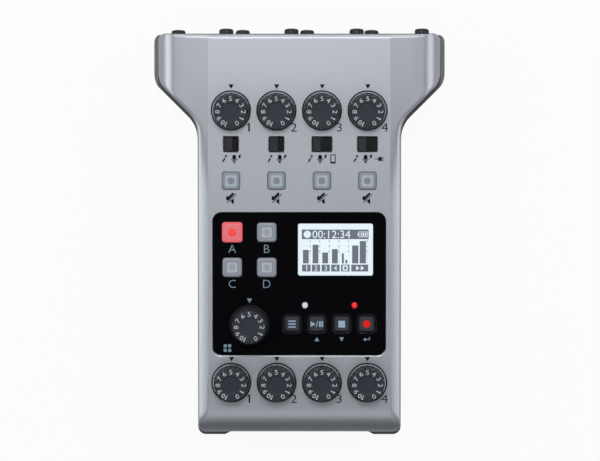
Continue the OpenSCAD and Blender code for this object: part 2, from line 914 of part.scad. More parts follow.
module xlr_contacts() {
    color("goldenrod") for (i = [0:3])
        translate([xlr_x(i), xlr_face_y, xlr_z]) at_contacts() difference() {
        to_rear() rod(contact_r + contact_wall, -flange_t - xlr_depth, -2 * insert_sink);
        to_rear() rod(contact_r, xlr_floor_t - flange_t - xlr_depth, 1);
    }
}

// A pan head screw along +Z, with the underside of its head at 0 and a cross recess
module pan_screw(r, length, d, h) {
    slot_w = d * cross_w;
    slot_l = d * cross_l;
    difference() {
        union() {
            rod(r, -length, h / 2);
            rotate_extrude() polygon(concat([[0, 0], [d / 2, 0]],
                [for (i = [0:arc_steps])
                    let (a = head_turn * i / arc_steps)
                    [d / 2 * cos(a), h * (head_rim + (1 - head_rim) * sin(a))]],
                [[0, h]]));
        }
        for (turn = [0, 90])
            rotate([0, 0, turn]) box([-slot_l / 2, slot_l / 2], [-slot_w / 2, slot_w / 2], [h / 2, h + 1]);
    }
}

module xlr_screws() {
    color([0.1, 0.1, 0.1]) for (i = [0:3], side = [-1, 1])
        translate([xlr_x(i) + side * screw_dx / 2, xlr_face_y, xlr_z + side * screw_dz / 2])
            to_rear() pan_screw(xlr_screw_r, flange_t + wall + 1, head_d, head_h);
}

// Jack, USB and card sockets

// A jack along +Y with its mouth at the origin and its collar in a wall
module jack(collar) {
    difference() {
        union() {
            to_rear() rod(jack_collar_r, 0, collar + 1);
            box([-jack_body_w / 2, jack_body_w / 2], [collar, collar + jack_depth],
                [main_top - jack_axis_z, jack_body_h + main_top - jack_axis_z]);
        }
        to_rear() rod(jack_d / 2, -1, jack_depth);
    }
}

module jack_sockets() {
    mouth_y = y_front + toe_reach + fit_gap;
    color([0.13, 0.13, 0.14]) {
        for (i = [0:3]) translate([jack_x(i), mouth_y, jack_axis_z]) jack(wall + fit_gap);
        translate([-body_half, headset_y, jack_axis_z])
            rotate([0, 0, -90]) jack(body_half - in_body_half + fit_gap);
    }
}

module usb_sockets() {
    color("lightgray") for (y = usb_ys) translate([body_half - insert_sink, y, usb_z]) {
        difference() {
            usb_slot(usb_w + 2 * usb_shell, usb_h + 2 * usb_shell, -usb_depth, 0);
            usb_slot(usb_w, usb_h, usb_back_t - usb_depth, 1);
        }
        box([usb_back_t / 2 - usb_depth, usb_back_t - usb_depth + usb_tongue_l],
            [-usb_tongue_w / 2, usb_tongue_w / 2],
            [-usb_tongue_h / 2, usb_tongue_h / 2]);
    }
}

module card_socket() {
    mouth_x = board_edge - in_body_half;
    slot_low = main_top + (card_socket_h - card_slot_h) / 2;
    color("lightgray") translate([0, card_y, 0]) difference() {
        box([mouth_x, mouth_x + card_socket_l], [-card_socket_w / 2, card_socket_w / 2],
            [main_top, main_top + card_socket_h]);
        box([mouth_x - 1, mouth_x + card_socket_l - card_stop_t], [-card_w / 2, card_w / 2],
            [slot_low, slot_low + card_slot_h]);
    }
}

// Battery bay

module cell() {
    rod(cell_d / 2, 0, cell_len);
    rod(nub_r, cell_len - 1, cell_len + nub_len);
}

module battery_cells() {
    color("khaki") for (side = [-1, 1])
        translate([0, bay_y + side * (cell_d + cell_gap) / 2, cell_z])
            rotate([0, 90 * side, 0]) translate([0, 0, -(cell_len + nub_len) / 2]) cell();
}

// A bent leaf that reaches from an end wall of the bay to a cell
module battery_contact() {
    reach = contact_room - fit_gap;
    foot = leaf_l / 2;
    root = leaf_l / 3;
    tip = leaf_l / 11;
    rotate([0, 90, -90]) translate([0, 0, -cell_d / 4]) linear_extrude(cell_d / 2) difference() {
        polygon([[-foot, 0], [foot, 0], [foot, contact_t], [root, contact_t], [tip, reach], [-tip, reach],
            [-root, contact_t], [-foot, contact_t]]);
        polygon([[2 * contact_t - root, -1], [root - 2 * contact_t, -1], [root - 2 * contact_t, 0],
            [tip - contact_t / 2, reach - contact_t], [contact_t / 2 - tip, reach - contact_t],
            [2 * contact_t - root, 0]]);
    }
}

module battery_contacts() {
    color("lightgray") for (end = [0, 180], side = [-1, 1])
        translate([0, bay_y + side * (cell_d + cell_gap) / 2, cell_z])
            rotate([0, 0, end]) translate([-bay_half_x, 0, 0]) battery_contact();
}

module battery_cover() {
    color("dimgray") {
        box([-cover_half_x, cover_half_x], [cover_axis_y, bay_y + cover_half_y], [foot_h, cover_axis_z]);
        translate([0, cover_axis_y, cover_axis_z]) to_right() {
            rod(cover_t, -cover_half_x, cover_half_x);
            rod(cover_pin_r, -cover_half_x - lug_w / 2, cover_half_x + lug_w / 2);
        }
    }
}

module card_door() {
    color("dimgray") {
        translate([0, card_y, 0])
            box([-body_half, door_axis_x], [-door_l / 2, door_l / 2], [door_axis_z, door_low + door_h]);
        translate([door_axis_x, card_y, door_axis_z]) to_rear() {
            rod(door_t, -door_l / 2, door_l / 2);
            rod(door_pin_r, fit_gap - door_reach, door_reach - fit_gap);
        }
    }
}

module rubber_feet() {
    color([0.15, 0.15, 0.15]) at_feet() rod(foot_d / 2, 0, foot_h + foot_sink);
}

module case_screws() {
    color("gray") at_posts()
        translate([0, 0, $post_top - screw_web]) rotate([180, 0, 0])
            pan_screw(screw_r, screw_web + board_t + screw_bite, 2 * screw_head_r, screw_head_h);
}

// Knobs and shafts, drawn about their own axis from the surface of the top

module knob() {
    top = knob_gap + knob_h;
    flute_start = knob_gap + lip_h + bevel_h;
    difference() {
        rotate_extrude() polygon([[0, knob_gap], [skirt_r, knob_gap], [skirt_r, knob_gap + lip_h],
            [barrel_r, flute_start], [barrel_top_r, top - knob_edge], [barrel_top_r - knob_edge, top],
            [dish_r, top], [dish_r - dish_depth, top - dish_depth], [0, top - dish_depth]]);
        for (i = [0:knob_flutes - 1])
            rotate([0, 0, 360 * i / knob_flutes])
                translate([barrel_r + flute_r - flute_depth, 0, 0]) rod(flute_r, flute_start, far);
        difference() {
            rod(shaft_r + grip_gap, 0, knob_gap + socket_depth);
            shaft_flat(grip_gap);
        }
    }
}

module shaft_flat(gap) {
    box([shaft_r - flat_cut + gap, far], [-far, far], [knob_gap, far]);
}

module shaft() {
    difference() {
        rod(shaft_r, control_top + board_edge + run_gap, knob_gap + socket_depth - fit_gap);
        shaft_flat(0);
    }
}

module gain_knob(i) { color([0.17, 0.18, 0.2]) at_panel(column_x(i), gain_row) knob(); }

module gain_shaft(i) { color("lightgray") at_panel(column_x(i), gain_row) shaft(); }

module phones_knob(i) { color([0.17, 0.18, 0.2]) at_panel(column_x(i), phones_row) knob(); }

module phones_shaft(i) { color("lightgray") at_panel(column_x(i), phones_row) shaft(); }

module pad_knob() {
    color([0.17, 0.18, 0.2]) at_panel(wide(pad_knob_x), down(pad_knob_row)) knob();
}

module pad_shaft() { color("lightgray") at_panel(wide(pad_knob_x), down(pad_knob_row)) shaft(); }

// Sliders and keys

module input_slider(i) {
    travel = slider_travel(i);
    plate_top = -roof_t - fit_gap;
    plate_low = plate_top - slider_plate_t;
    color([0.1, 0.1, 0.1]) at_panel(column_x(i) - travel / 2, down(switch_row)) {
        block(slider_w, switch_open_h - 2 * fit_gap, plate_low, -slider_drop, open_r / 2);
        block(slider_open(i) + travel + 2 * fit_gap, switch_open_h + 4 * open_r,
            plate_low, plate_top, open_r);
        block(stem_w, stem_w, switch_top - stem_dip, plate_low + slider_plate_t / 2, fit_gap);
    }
}

module power_slider() {
    cap_h = power_open_h - 2 * fit_gap;
    plate_l = power_open_l + power_travel + 2 * fit_gap;
    plate_h = power_open_h + 2 * slider_plate_t;
    color([0.1, 0.1, 0.1]) translate([0, power_y - power_travel / 2, power_z]) {
        box([power_plate_x, body_half + power_proud], [-power_cap_l / 2, power_cap_l / 2],
            [-cap_h / 2, cap_h / 2]);
        box([power_plate_x, power_plate_x + slider_plate_t], [-plate_l / 2, plate_l / 2],
            [-plate_h / 2, plate_h / 2]);
        box([power_body_x - stem_dip, power_plate_x + slider_plate_t / 2], [-stem_w / 2, stem_w / 2],
            [-stem_w / 2, stem_w / 2]);
    }
}

// A key with its flange under the top and its plunger above its switch
module key(w, ring, lip) {
    flange_top = -roof_t - fit_gap;
    flange_low = flange_top - key_flange_t;
    around = ring > 0 ? 2 * ring - 2 * key_gap : 0;
    flange_w = w + around + 2 * key_gap + 2 * lip;
    block(w, w, flange_low, key_proud, key_r);
    if (ring > 0) block(w + around, w + around, flange_low, -ring_drop, key_r + ring - key_gap);
    block(flange_w, flange_w, flange_low, flange_top, key_r);
    rod(plunger_r, key_low, flange_low + key_flange_t / 2);
}

module mute_key(i) { color("gainsboro") at_panel(column_x(i), down(mute_row)) key(mute_w, 0, key_lip); }

module pad_key(i) {
    place = pad_place(i);
    color(i == 0 ? "red" : "gray") at_panel(place[0], place[1]) key(pad_w, 0, key_lip);
}

module transport_key(i) {
    place = transport_place(i);
    color([0.16, 0.17, 0.2]) at_panel(place[0], place[1]) key(transport_w, transport_ring, transport_lip);
}

upper_case();
lower_case();
rear_panel();
control_window();
display_module();
indicator_lenses();
control_board();
main_board();
input_board();
pot_bodies();
switch_bodies();
key_switches();
xlr_shells();
xlr_inserts();
xlr_contacts();
xlr_screws();
jack_sockets();
usb_sockets();
card_socket();
battery_cells();
battery_contacts();
rubber_feet();
case_screws();
pad_knob();
pad_shaft();
power_slider();
battery_cover();
card_door();
for (i = [0:3]) {
    gain_knob(i);
    gain_shaft(i);
    phones_knob(i);
    phones_shaft(i);
    input_slider(i);
    mute_key(i);
    pad_key(i);
    transport_key(i);
}
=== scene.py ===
"""A four channel podcast recorder with knobs, keys, pads, display and sockets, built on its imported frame."""

import json
import math

import bmesh
import bpy
from mathutils import Matrix, Vector


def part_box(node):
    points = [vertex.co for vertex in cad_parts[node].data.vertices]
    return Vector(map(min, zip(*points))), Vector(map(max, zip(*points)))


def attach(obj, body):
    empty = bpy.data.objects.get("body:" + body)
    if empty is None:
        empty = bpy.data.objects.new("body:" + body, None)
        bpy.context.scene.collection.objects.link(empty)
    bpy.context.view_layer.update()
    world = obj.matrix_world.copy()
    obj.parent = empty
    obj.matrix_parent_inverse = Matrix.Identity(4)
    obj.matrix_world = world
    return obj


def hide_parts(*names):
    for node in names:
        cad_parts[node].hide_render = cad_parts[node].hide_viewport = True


bl_info = {
    "name": "Podcast Recorder",
    "version": (1, 0, 0),
    "blender": (4, 5, 0),
    "location": "View3D > Sidebar > Recorder",
    "description": "Dresses the packed recorder with moulded, printed and polished pieces",
    "category": "Object",
}

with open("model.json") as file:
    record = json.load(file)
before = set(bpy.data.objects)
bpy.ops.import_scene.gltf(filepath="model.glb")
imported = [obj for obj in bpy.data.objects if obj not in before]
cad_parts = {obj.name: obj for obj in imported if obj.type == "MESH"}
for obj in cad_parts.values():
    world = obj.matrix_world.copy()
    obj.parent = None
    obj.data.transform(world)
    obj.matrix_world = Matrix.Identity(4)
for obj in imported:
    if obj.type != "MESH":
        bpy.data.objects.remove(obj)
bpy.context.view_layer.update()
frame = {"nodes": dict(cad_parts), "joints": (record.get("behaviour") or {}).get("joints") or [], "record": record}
MM = 0.001

# Places on the top, in millimetres: x from the middle, row from the rear edge
COLUMNS = [(i - 1.5) * 17.34 for i in range(4)]
GAIN_ROW = 28.9
SWITCH_ROW = 41.85
SYMBOL_ROW = 47.5
MUTE_ROW = 55.8
SPEAKER_ROW = 62.6
PHONES_ROW = 133.2
POINTER_ROWS = (19.85, 124.25)
NUMBER_ROWS = (35.4, 139.5)
PADS = [(-25.6 + 13.2 * (i % 2), 75.55 + 13.45 * (i // 2)) for i in range(4)]
PAD_KNOB = (-19.0, 111.0)
PAD_POINTER_ROW = 101.8
PAD_SYMBOL = (-27.5, 120.0)
TRANSPORT = [(-2.75 + 9.5 * i, 110.7) for i in range(4)]
ARROW_ROW = 116.6
LENSES = ((2.2, 103.6), (21.1, 103.6))
WINDOW_ROW = 95.3
WINDOW_SIZE = (66.2, 54.8)
WINDOW_CORNER = 3.4
WINDOW_PLAY = 0.3
DISPLAY = (13.85, 82.2)
DISPLAY_SIZE = (28.9, 20.2)

# Heights above the top
WINDOW_TOP = -0.2
GLASS_TOP = -0.35
RECESS_FLOOR = -1.4
UNDER_ROOF = -2.75
BOARD_TOP = -10.0
INK_LOW = 0.006
INK_HIGH = 0.03
CUT_LOW = -20.0
CUT_TOP = 6.0

# The upper case
TOP_LENGTH = 152.66
WING_HALF = 53.8
BODY_HALF = 38.7
FLAT_HALF = 34.7
BEND_ROW = 18.23
BEND_RADIUS = 8.0
NOTCH_RADIUS = 12.0
NOTCH_ROW = BEND_ROW + WING_HALF - BODY_HALF
REAR_CORNER = 2.6
REAR_ROUND = 1.3
FRONT_CORNER = 3.0
ROOF = 2.6
WALL = 2.2
INNER_STEP = 0.8
SHELL_DEPTH = 10.5
CREASE_END = 142.0

# Its front roll, the fall and roll of the wings, and the bevel that takes their place along the narrow body
ROLL_RADIUS = 10.0
ROLL_NOSE = 1.1
ROLL_TURN = math.radians(41.0)
WING_RADIUS = 7.1
WING_FALL = math.radians(4.0)
WING_START = WING_HALF - WING_RADIUS * (1 - math.sin(WING_FALL))
WING_ROLL_LEAST = 2.2
SLANT_ROUND = 1.2
SLANT_BLEND = 1.5
BEVEL_RADIUS = 20.0
BEVEL_START = math.radians(15.0)
BEVEL_TURN = math.radians(25.5)
BEVEL_ROWS = (31.0, 62.0)

# Where the arcs of the slanted sides start, measured along the side from each corner of their outline
EIGHTH = math.tan(math.pi / 8)
DIAGONAL = math.sqrt(0.5)
BEND_REACH = BEND_RADIUS * EIGHTH
NOTCH_REACH = NOTCH_RADIUS * EIGHTH

# Openings in the top and their softened edges
KNOB_HOLE = 3.8
LENS_HOLE = 1.3
SWITCH_CORNER = 0.6
PAD_HOLE_CORNER = 1.1
TRANSPORT_HOLE = 7.3
TRANSPORT_HOLE_CORNER = 1.8
DISPLAY_CORNER = 0.9
MUTE_GAP = 0.11
MUTE_EDGE = 0.09
COVERED_EDGE = 0.05
RECESS_EDGE = 0.28
RECESS_FLARE = 1.2

# Knobs, measured up from the top
KNOB_FOOT = 0.4
KNOB_TOP = 9.6
SKIRT_RADIUS = 7.65
SKIRT_TOP = 1.0
RING_OUTER = 7.16
RING_INNER = 6.75
BARREL_LOW = 1.7
BARREL_HIGH = 9.3
BARREL_RADII = (6.72, 6.56)
DISH = ((3.7, 0.0), (3.5, 0.14), (3.2, 0.2))
SOCKET_RADIUS = 3.05
SOCKET_TOP = 7.4
DIGIT_CIRCLE = 4.95

# Keys and pads
MUTE_WIDTH = 6.62
PAD_WIDTH = 7.4
PAD_CORNER = 1.25
PAD_SOFT = 0.6
TRANSPORT_WIDTH = 5.5
TRANSPORT_COLLAR = 0.7
KEY_PROUD = 0.6
KEY_GAP = 0.2
KEY_CORNER = 0.9
KEY_SOFT = 0.4
KEY_FLANGE = (-3.65, UNDER_ROOF)
KEY_LIP = 0.9
COLLAR_TOP = -1.1
PLUNGER_RADIUS = 1.4
PLUNGER_LOW = -6.15

# Sliders: the power slider's face is measured to the right from the middle
SWITCH_LENGTH = 5.9
SWITCH_WIDTHS = (5.95, 5.95, 7.8, 7.8)
SLIDER_WIDTH = 3.5
SLIDER_PLAY = 0.3
POWER_REACH = 38.6

# Print: thinner than the font, and wider on the dials and the top
THIN = -0.006
DIAL_STRETCH = 1.16
NUMBER_STRETCH = 1.2
NUMBER_HEIGHT = 3.2
LETTER_HEIGHT = 3.05
LETTER_THIN = -0.012


def panel_matrix():
    """Millimetres on the sloping top, measured from the middle of its rear edge, to metres in the frame."""
    turn = next(j for j in frame["joints"] if j["name"] == "gain_1_turn")
    up = Vector(turn["axis"]).normalized()
    back = Vector((0.0, up.z, -up.y))
    axle = Vector((0.0, turn["pos_m"][1], turn["pos_m"][2]))
    edge = axle + back * (GAIN_ROW * MM)
    turned = Matrix(((1, 0, 0, 0), (0, back.y, up.y, 0), (0, back.z, up.z, 0), (0, 0, 0, 1)))
    return Matrix.Translation(edge) @ turned @ Matrix.Scale(MM, 4)


def srgb(red, green, blue):
    """A colour written as 0 to 255 display values, as the linear values that Blender uses."""
    return tuple(((c / 255 + 0.055) / 1.055) ** 2.4 if c > 10 else c / 3294 for c in (red, green, blue))


def spot(x, row, lift=0.0):
    """A place on the top, with the origin of what stands there at the surface."""
    return Matrix.Translation((x, -row, lift))


PANEL = panel_matrix()
PANEL_BACK = PANEL.inverted()
WORLD = Matrix.Scale(MM, 4)

# Materials and node trees by name, filled in main()
FINISH = {}
TREES = {}


# Settings that a user would change

class RecorderColours(bpy.types.PropertyGroup):
    """Colours of the moulded, printed and lit pieces."""

    panel: bpy.props.FloatVectorProperty(
        name="Panel", description="Satin silver of the upper case", subtype="COLOR", size=3,
        min=0.0, max=1.0, default=srgb(170, 174, 181))
    shell: bpy.props.FloatVectorProperty(
        name="Lower case", description="Charcoal of the lower case and rear panel", subtype="COLOR", size=3,
        min=0.0, max=1.0, default=srgb(80, 80, 84))
    knob: bpy.props.FloatVectorProperty(
        name="Knobs", description="Dark slate of the knobs", subtype="COLOR", size=3,
        min=0.0, max=1.0, default=srgb(34, 38, 47))
    mute: bpy.props.FloatVectorProperty(
        name="Mute keys", description="Clear grey of the mute keys", subtype="COLOR", size=3,
        min=0.0, max=1.0, default=srgb(122, 128, 137))
    pad: bpy.props.FloatVectorProperty(
        name="Unlit pads", description="Clear grey of the pads that aren't lit", subtype="COLOR", size=3,
        min=0.0, max=1.0, default=srgb(128, 134, 143))
    lit: bpy.props.FloatVectorProperty(
        name="Lit pad", description="Red of the lit pad", subtype="COLOR", size=3,
        min=0.0, max=1.0, default=srgb(252, 56, 62))
    screen: bpy.props.FloatVectorProperty(
        name="Screen", description="Pale light of the display", subtype="COLOR", size=3,
        min=0.0, max=1.0, default=srgb(226, 241, 251))
    ink: bpy.props.FloatVectorProperty(
        name="Panel print", description="Dark print on the silver top", subtype="COLOR", size=3,
        min=0.0, max=1.0, default=srgb(10, 13, 20))


class RecorderSizes(bpy.types.PropertyGroup):
    """Sizes of the details that scene pieces add to the frame, in millimetres."""

    flutes: bpy.props.IntProperty(
        name="Flutes", description="Grooves around each knob", default=20, min=8, max=40)
    flute_depth: bpy.props.FloatProperty(
        name="Flute depth", description="Depth of each groove in millimetres", default=0.42, min=0.0, max=1.0)
    opening_edge: bpy.props.FloatProperty(
        name="Opening edge", description="Softened edge of the sliders' openings in millimetres",
        default=0.22, min=0.05, max=0.5)
    digit_height: bpy.props.FloatProperty(
        name="Dial digits", description="Height of the numbers on the knobs in millimetres", default=1.75,
        min=1.0, max=3.0)
    grip_ribs: bpy.props.IntProperty(
        name="Grip ribs", description="Ribs on the battery cover's grip", default=7, min=3, max=12)


class RecorderStage(bpy.types.PropertyGroup):
    """Light on the object."""

    key_power: bpy.props.FloatProperty(
        name="Key light", description="Power of the soft light above the rear edge", default=3.05, min=0.0,
        unit="POWER")
    side_power: bpy.props.FloatProperty(
        name="Side lights", description="Power of each light beside the object", default=3.35, min=0.0,
        unit="POWER")
    rear_power: bpy.props.FloatProperty(
        name="Rear light", description="Power of the low light behind the rear edge", default=4.5, min=0.0,
        unit="POWER")
    front_power: bpy.props.FloatProperty(
        name="Front light", description="Power of the weak light before the front edge", default=1.28,
        min=0.0, unit="POWER")
    sky: bpy.props.FloatProperty(
        name="Sky", description="Strength of the even light from all around", default=0.05, min=0.0, max=2.0)
    backdrop: bpy.props.FloatProperty(
        name="Backdrop", description="Share of the floor's own white, against its shadow", default=0.94,
        subtype="FACTOR", min=0.0, max=1.0)


def colours():
    """The colour settings of this scene."""
    return bpy.context.scene.recorder_colours


def sizes():
    """The size settings of this scene."""
    return bpy.context.scene.recorder_sizes


# Mesh helpers

class Shape:
    """Points and faces of one piece in millimetres, with a finish for each face and a tone for each point."""

    def __init__(self):
        self.points = []
        self.faces = []
        self.finish = []
        self.tones = []

    def ring(self, points, tone=0.0):
        """Adds points and returns their numbers."""
        start = len(self.points)
        self.points.extend(Vector(p) for p in points)
        self.tones.extend([tone] * (len(self.points) - start))
        return list(range(start, len(self.points)))

    def face(self, ring, finish=0):
        """Adds one face."""
        self.faces.append(tuple(ring))
        self.finish.append(finish)

    def bridge(self, low, high, finish=0, closed=True):
        """Joins two rings of as many points with four sided faces."""
        count = len(low)
        for i in range(count if closed else count - 1):
            j = (i + 1) % count
            self.face((low[i], low[j], high[j], high[i]), finish)

    def loft(self, layers, finishes=None, tones=None, low_cap=True, high_cap=True):
        """Joins outlines that run counter-clockwise seen from above, from the first to the last."""
        finishes = finishes or [0] * len(layers)
        tones = tones or [0.0] * len(layers)
        rings = [self.ring(layer, tone) for layer, tone in zip(layers, tones)]
        for low, high, finish in zip(rings, rings[1:], finishes):
            self.bridge(low, high, finish)
        if low_cap:
            self.face(reversed(rings[0]), finishes[0])
        if high_cap:
            self.face(rings[-1], finishes[-1])
        return self

    def join(self, other, place):
        """Adds another shape at a place."""
        start = len(self.points)
        self.points.extend(place @ p for p in other.points)
        self.tones.extend(other.tones)
        for face, finish in zip(other.faces, other.finish):
            self.face((start + i for i in face), finish)

    def plate(self, outline, low, high, finish=0):
        """A flat plate with a straight edge, from an outline in either direction."""
        turn = sum(a[0] * b[1] - b[0] * a[1] for a, b in zip(outline, outline[1:] + outline[:1]))
        flat = outline if turn > 0 else outline[::-1]
        return self.loft([level(flat, low), level(flat, high)], [finish, finish])


def level(outline, height, grow=1.0, x=0.0, y=0.0):
    """An outline lifted to a height."""
    return [(x + p[0] * grow, y + p[1] * grow, height) for p in outline]


def circle(radius, count):
    """A round outline."""
    turns = [2 * math.pi * i / count for i in range(count)]
    return [(radius * math.cos(a), radius * math.sin(a)) for a in turns]


def rounded_rectangle(width, length, corner, steps=5):
    """An outline with round corners, counter-clockwise."""
    points = []
    for quarter, (sx, sy) in enumerate(((1, 1), (-1, 1), (-1, -1), (1, -1))):
        for i in range(steps + 1):
            angle = math.pi / 2 * (quarter + i / steps)
            x = sx * (width / 2 - corner) + corner * math.cos(angle)
            y = sy * (length / 2 - corner) + corner * math.sin(angle)
            points.append((x, y))
    return points


def bar(start, end, width):
    """The outline of a straight stroke."""
    along = Vector((end[0] - start[0], end[1] - start[1])).normalized() * (width / 2)
    side = (-along.y, along.x)
    return [(start[0] - side[0], start[1] - side[1]), (end[0] - side[0], end[1] - side[1]),
            (end[0] + side[0], end[1] + side[1]), (start[0] + side[0], start[1] + side[1])]


def box_outline(left, right, low, high):
    """A plain rectangle."""
    return [(left, low), (right, low), (right, high), (left, high)]


def arc_band(radius, width, start, end, steps=14):
    """The outline of a round stroke between two angles in degrees."""
    turns = [math.radians(start + (end - start) * i / steps) for i in range(steps + 1)]
    outer = [((radius + width / 2) * math.cos(a), (radius + width / 2) * math.sin(a)) for a in turns]
    inner = [((radius - width / 2) * math.cos(a), (radius - width / 2) * math.sin(a)) for a in turns]
    return outer + inner[::-1]


def moved(outline, x, y):
    """An outline at another place."""
    return [(p[0] + x, p[1] + y) for p in outline]


def link(name, data):
    """A new object in the scene."""
    thing = bpy.data.objects.new(name, data)
    bpy.context.scene.collection.objects.link(thing)
    return thing


def mesh_of(name, shape, looks, place):
    """A shape as a mesh at its place, with merged points and the finishes that its faces name."""
    mesh = bpy.data.meshes.new(name)
    mesh.from_pydata([place @ p for p in shape.points], [], shape.faces)
    for look in looks:
        mesh.materials.append(FINISH[look])
    mesh.polygons.foreach_set("material_index", shape.finish)
    if any(shape.tones):
        tone = mesh.attributes.new("tone", "FLOAT", "POINT")
        tone.data.foreach_set("value", shape.tones)
    work = bmesh.new()
    work.from_mesh(mesh)
    bmesh.ops.remove_doubles(work, verts=work.verts, dist=2e-7)
    work.to_mesh(mesh)
    work.free()
    return mesh


def settle(thing, body, replaces=(), angle=32.0, weighted=True, crease=None):
    """Smooth shading with crisp edges, then the piece's body and the nodes that it stands for."""
    thing.data.shade_smooth()
    thing.data.set_sharp_from_angle(angle=math.radians(angle))
    if crease:
        for edge in thing.data.edges:
            if all(crease(thing.data.vertices[i].co) for i in edge.vertices):
                edge.use_edge_sharp = True
    if weighted:
        normals = thing.modifiers.new("Weighted Normal", "WEIGHTED_NORMAL")
        normals.keep_sharp = True
    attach(thing, body)
    if replaces:
        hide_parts(*replaces)
    return thing


def piece(name, shape, looks, body, replaces=(), place=None, angle=32.0, weighted=True):
    """A finished piece from a shape; without a place, the shape lies on the top."""
    mesh = mesh_of(name, shape, looks, PANEL if place is None else place)
    return settle(link(name, mesh), body, replaces, angle, weighted)


def plain_mesh(thing):
    """What an object's modifiers make of it, as a mesh of its own; the object is removed."""
    seen = thing.evaluated_get(bpy.context.evaluated_depsgraph_get())
    mesh = bpy.data.meshes.new_from_object(seen)
    bpy.data.objects.remove(thing)
    return mesh


def shape_from(mesh):
    """A mesh as a shape."""
    shape = Shape()
    shape.ring(v.co for v in mesh.vertices)
    for polygon in mesh.polygons:
        shape.face(polygon.vertices)
    return shape


def carve(thing, cutter_shape, place):
    """Cuts closed prisms out of a piece."""
    cutter = link("cutter", mesh_of("cutter", cutter_shape, [], place))
    cut = thing.modifiers.new("Openings", "BOOLEAN")
    cut.operation = "DIFFERENCE"
    cut.solver = "EXACT"
    cut.object = cutter
    bpy.context.view_layer.update()
    name = thing.name
    mesh = plain_mesh(thing)
    bpy.data.objects.remove(cutter)
    return link(name, mesh)


def softened(node, width, look, segments=2):
    """A copy of a CAD node with its sharp outer edges rounded, riding on the node's body."""
    mesh = frame["nodes"][node].data.copy()
    mesh.materials.clear()
    mesh.materials.append(FINISH[look])
    work = bmesh.new()
    work.from_mesh(mesh)
    bmesh.ops.remove_doubles(work, verts=work.verts, dist=2e-6)
    bmesh.ops.dissolve_limit(work, angle_limit=math.radians(0.6), verts=work.verts, edges=work.edges)
    for face in work.faces:
        face.material_index = 0
    sharp = [edge for edge in work.edges if is_outer_edge(edge)]
    bmesh.ops.bevel(work, geom=sharp, offset=width * MM, offset_type="OFFSET", segments=segments, profile=0.5,
                    affect="EDGES", clamp_overlap=True)
    work.to_mesh(mesh)
    work.free()
    body = next(b for b, members in frame["record"]["behaviour"]["bodies"].items() if node in members)
    return settle(link(node + "_moulded", mesh), body, (node,))


def is_outer_edge(edge):
    """True for a sharp edge that points outwards."""
    if len(edge.link_faces) != 2 or not edge.is_convex:
        return False
    return edge.calc_face_angle(0.0) > math.radians(35.0)


GLYPHS = {}


def glyph(text, weight=0.0):
    """Digits or a letter as a flat shape, one unit tall, centred and one unit thick."""
    key = (text, weight)
    if key not in GLYPHS:
        own_shapes = {"1": flagged_one, "10": spaced_ten}
        GLYPHS[key] = own_shapes[text]() if text in own_shapes else typed(text, weight)
    return GLYPHS[key]


def flagged_one():
    """A 1 with a short flag and no foot."""
    outline = [(0.0, -0.5), (0.16, -0.5), (0.16, 0.5), (0.05, 0.5), (-0.16, 0.34), (-0.16, 0.2), (0.0, 0.31)]
    return Shape().plate(outline, 0.0, 1.0)


def spaced_ten():
    """A 10 with its figures set apart."""
    ten = Shape()
    ten.join(glyph("1"), Matrix.Translation((-0.46, 0.0, 0.0)))
    ten.join(glyph("0"), Matrix.Translation((0.24, 0.0, 0.0)))
    return ten


def typed(text, weight):
    """Text in Blender's own font, its strokes thickened by the weight."""
    curve = bpy.data.curves.new("glyph", "FONT")
    curve.body = text
    curve.offset = weight
    curve.resolution_u = 3
    curve.extrude = 0.5
    shape = shape_from(plain_mesh(link("glyph", curve)))
    low = Vector([min(p[k] for p in shape.points) for k in range(3)])
    high = Vector([max(p[k] for p in shape.points) for k in range(3)])
    scale = 1.0 / (high.y - low.y)
    middle = (low + high) / 2
    shape.points = [Vector(((p.x - middle.x) * scale, (p.y - middle.y) * scale, p.z - low.z))
                    for p in shape.points]
    return shape


def write(shape, text, height, x, row, lift=0.0, turn=0.0, weight=0.0, stretch=1.0):
    """Prints digits or a letter at a place on the top, lifted, turned and widened."""
    place = spot(x, row, lift + INK_LOW) @ Matrix.Rotation(turn, 4, "Z")
    place = place @ Matrix.Diagonal((height * stretch, height, INK_HIGH - INK_LOW, 1.0))
    shape.join(glyph(text, weight), place)


def stamp(shape, outlines, x=0.0, row=0.0, lift=0.0, scale=1.0):
    """Prints outlines at a place on the top."""
    for outline in outlines:
        flat = [(p[0] * scale + x, p[1] * scale - row) for p in outline]
        shape.plate(flat, lift + INK_LOW, lift + INK_HIGH)


# Geometry Nodes trees

POINTS_PER_FLUTE = 8


def new_tree(name, inputs):
    """An empty tree with named inputs and a geometry output."""
    tree = bpy.data.node_groups.new(name, "GeometryNodeTree")
    tree.is_modifier = True
    tree.interface.new_socket("Geometry", in_out="INPUT", socket_type="NodeSocketGeometry")
    for label, kind in inputs:
        tree.interface.new_socket(label, in_out="INPUT", socket_type=kind)
    tree.interface.new_socket("Geometry", in_out="OUTPUT", socket_type="NodeSocketGeometry")
    return tree, tree.nodes.new("NodeGroupInput"), tree.nodes.new("NodeGroupOutput")


def math_node(tree, operation, *values):
    """A Math node fed by sockets or plain numbers; returns its result."""
    node = tree.nodes.new("ShaderNodeMath")
    node.operation = operation
    for socket, value in zip(node.inputs, values):
        if isinstance(value, (int, float)):
            socket.default_value = value
        else:
            tree.links.new(value, socket)
    return node.outputs[0]


def end_tree(tree, given, output, geometry):
    """Realize Instances and Set Material before the output."""
    realize = tree.nodes.new("GeometryNodeRealizeInstances")
    paint = tree.nodes.new("GeometryNodeSetMaterial")
    tree.links.new(geometry, realize.inputs["Geometry"])
    tree.links.new(realize.outputs["Geometry"], paint.inputs["Geometry"])
    tree.links.new(given.outputs["Material"], paint.inputs["Material"])
    tree.links.new(paint.outputs["Geometry"], output.inputs["Geometry"])


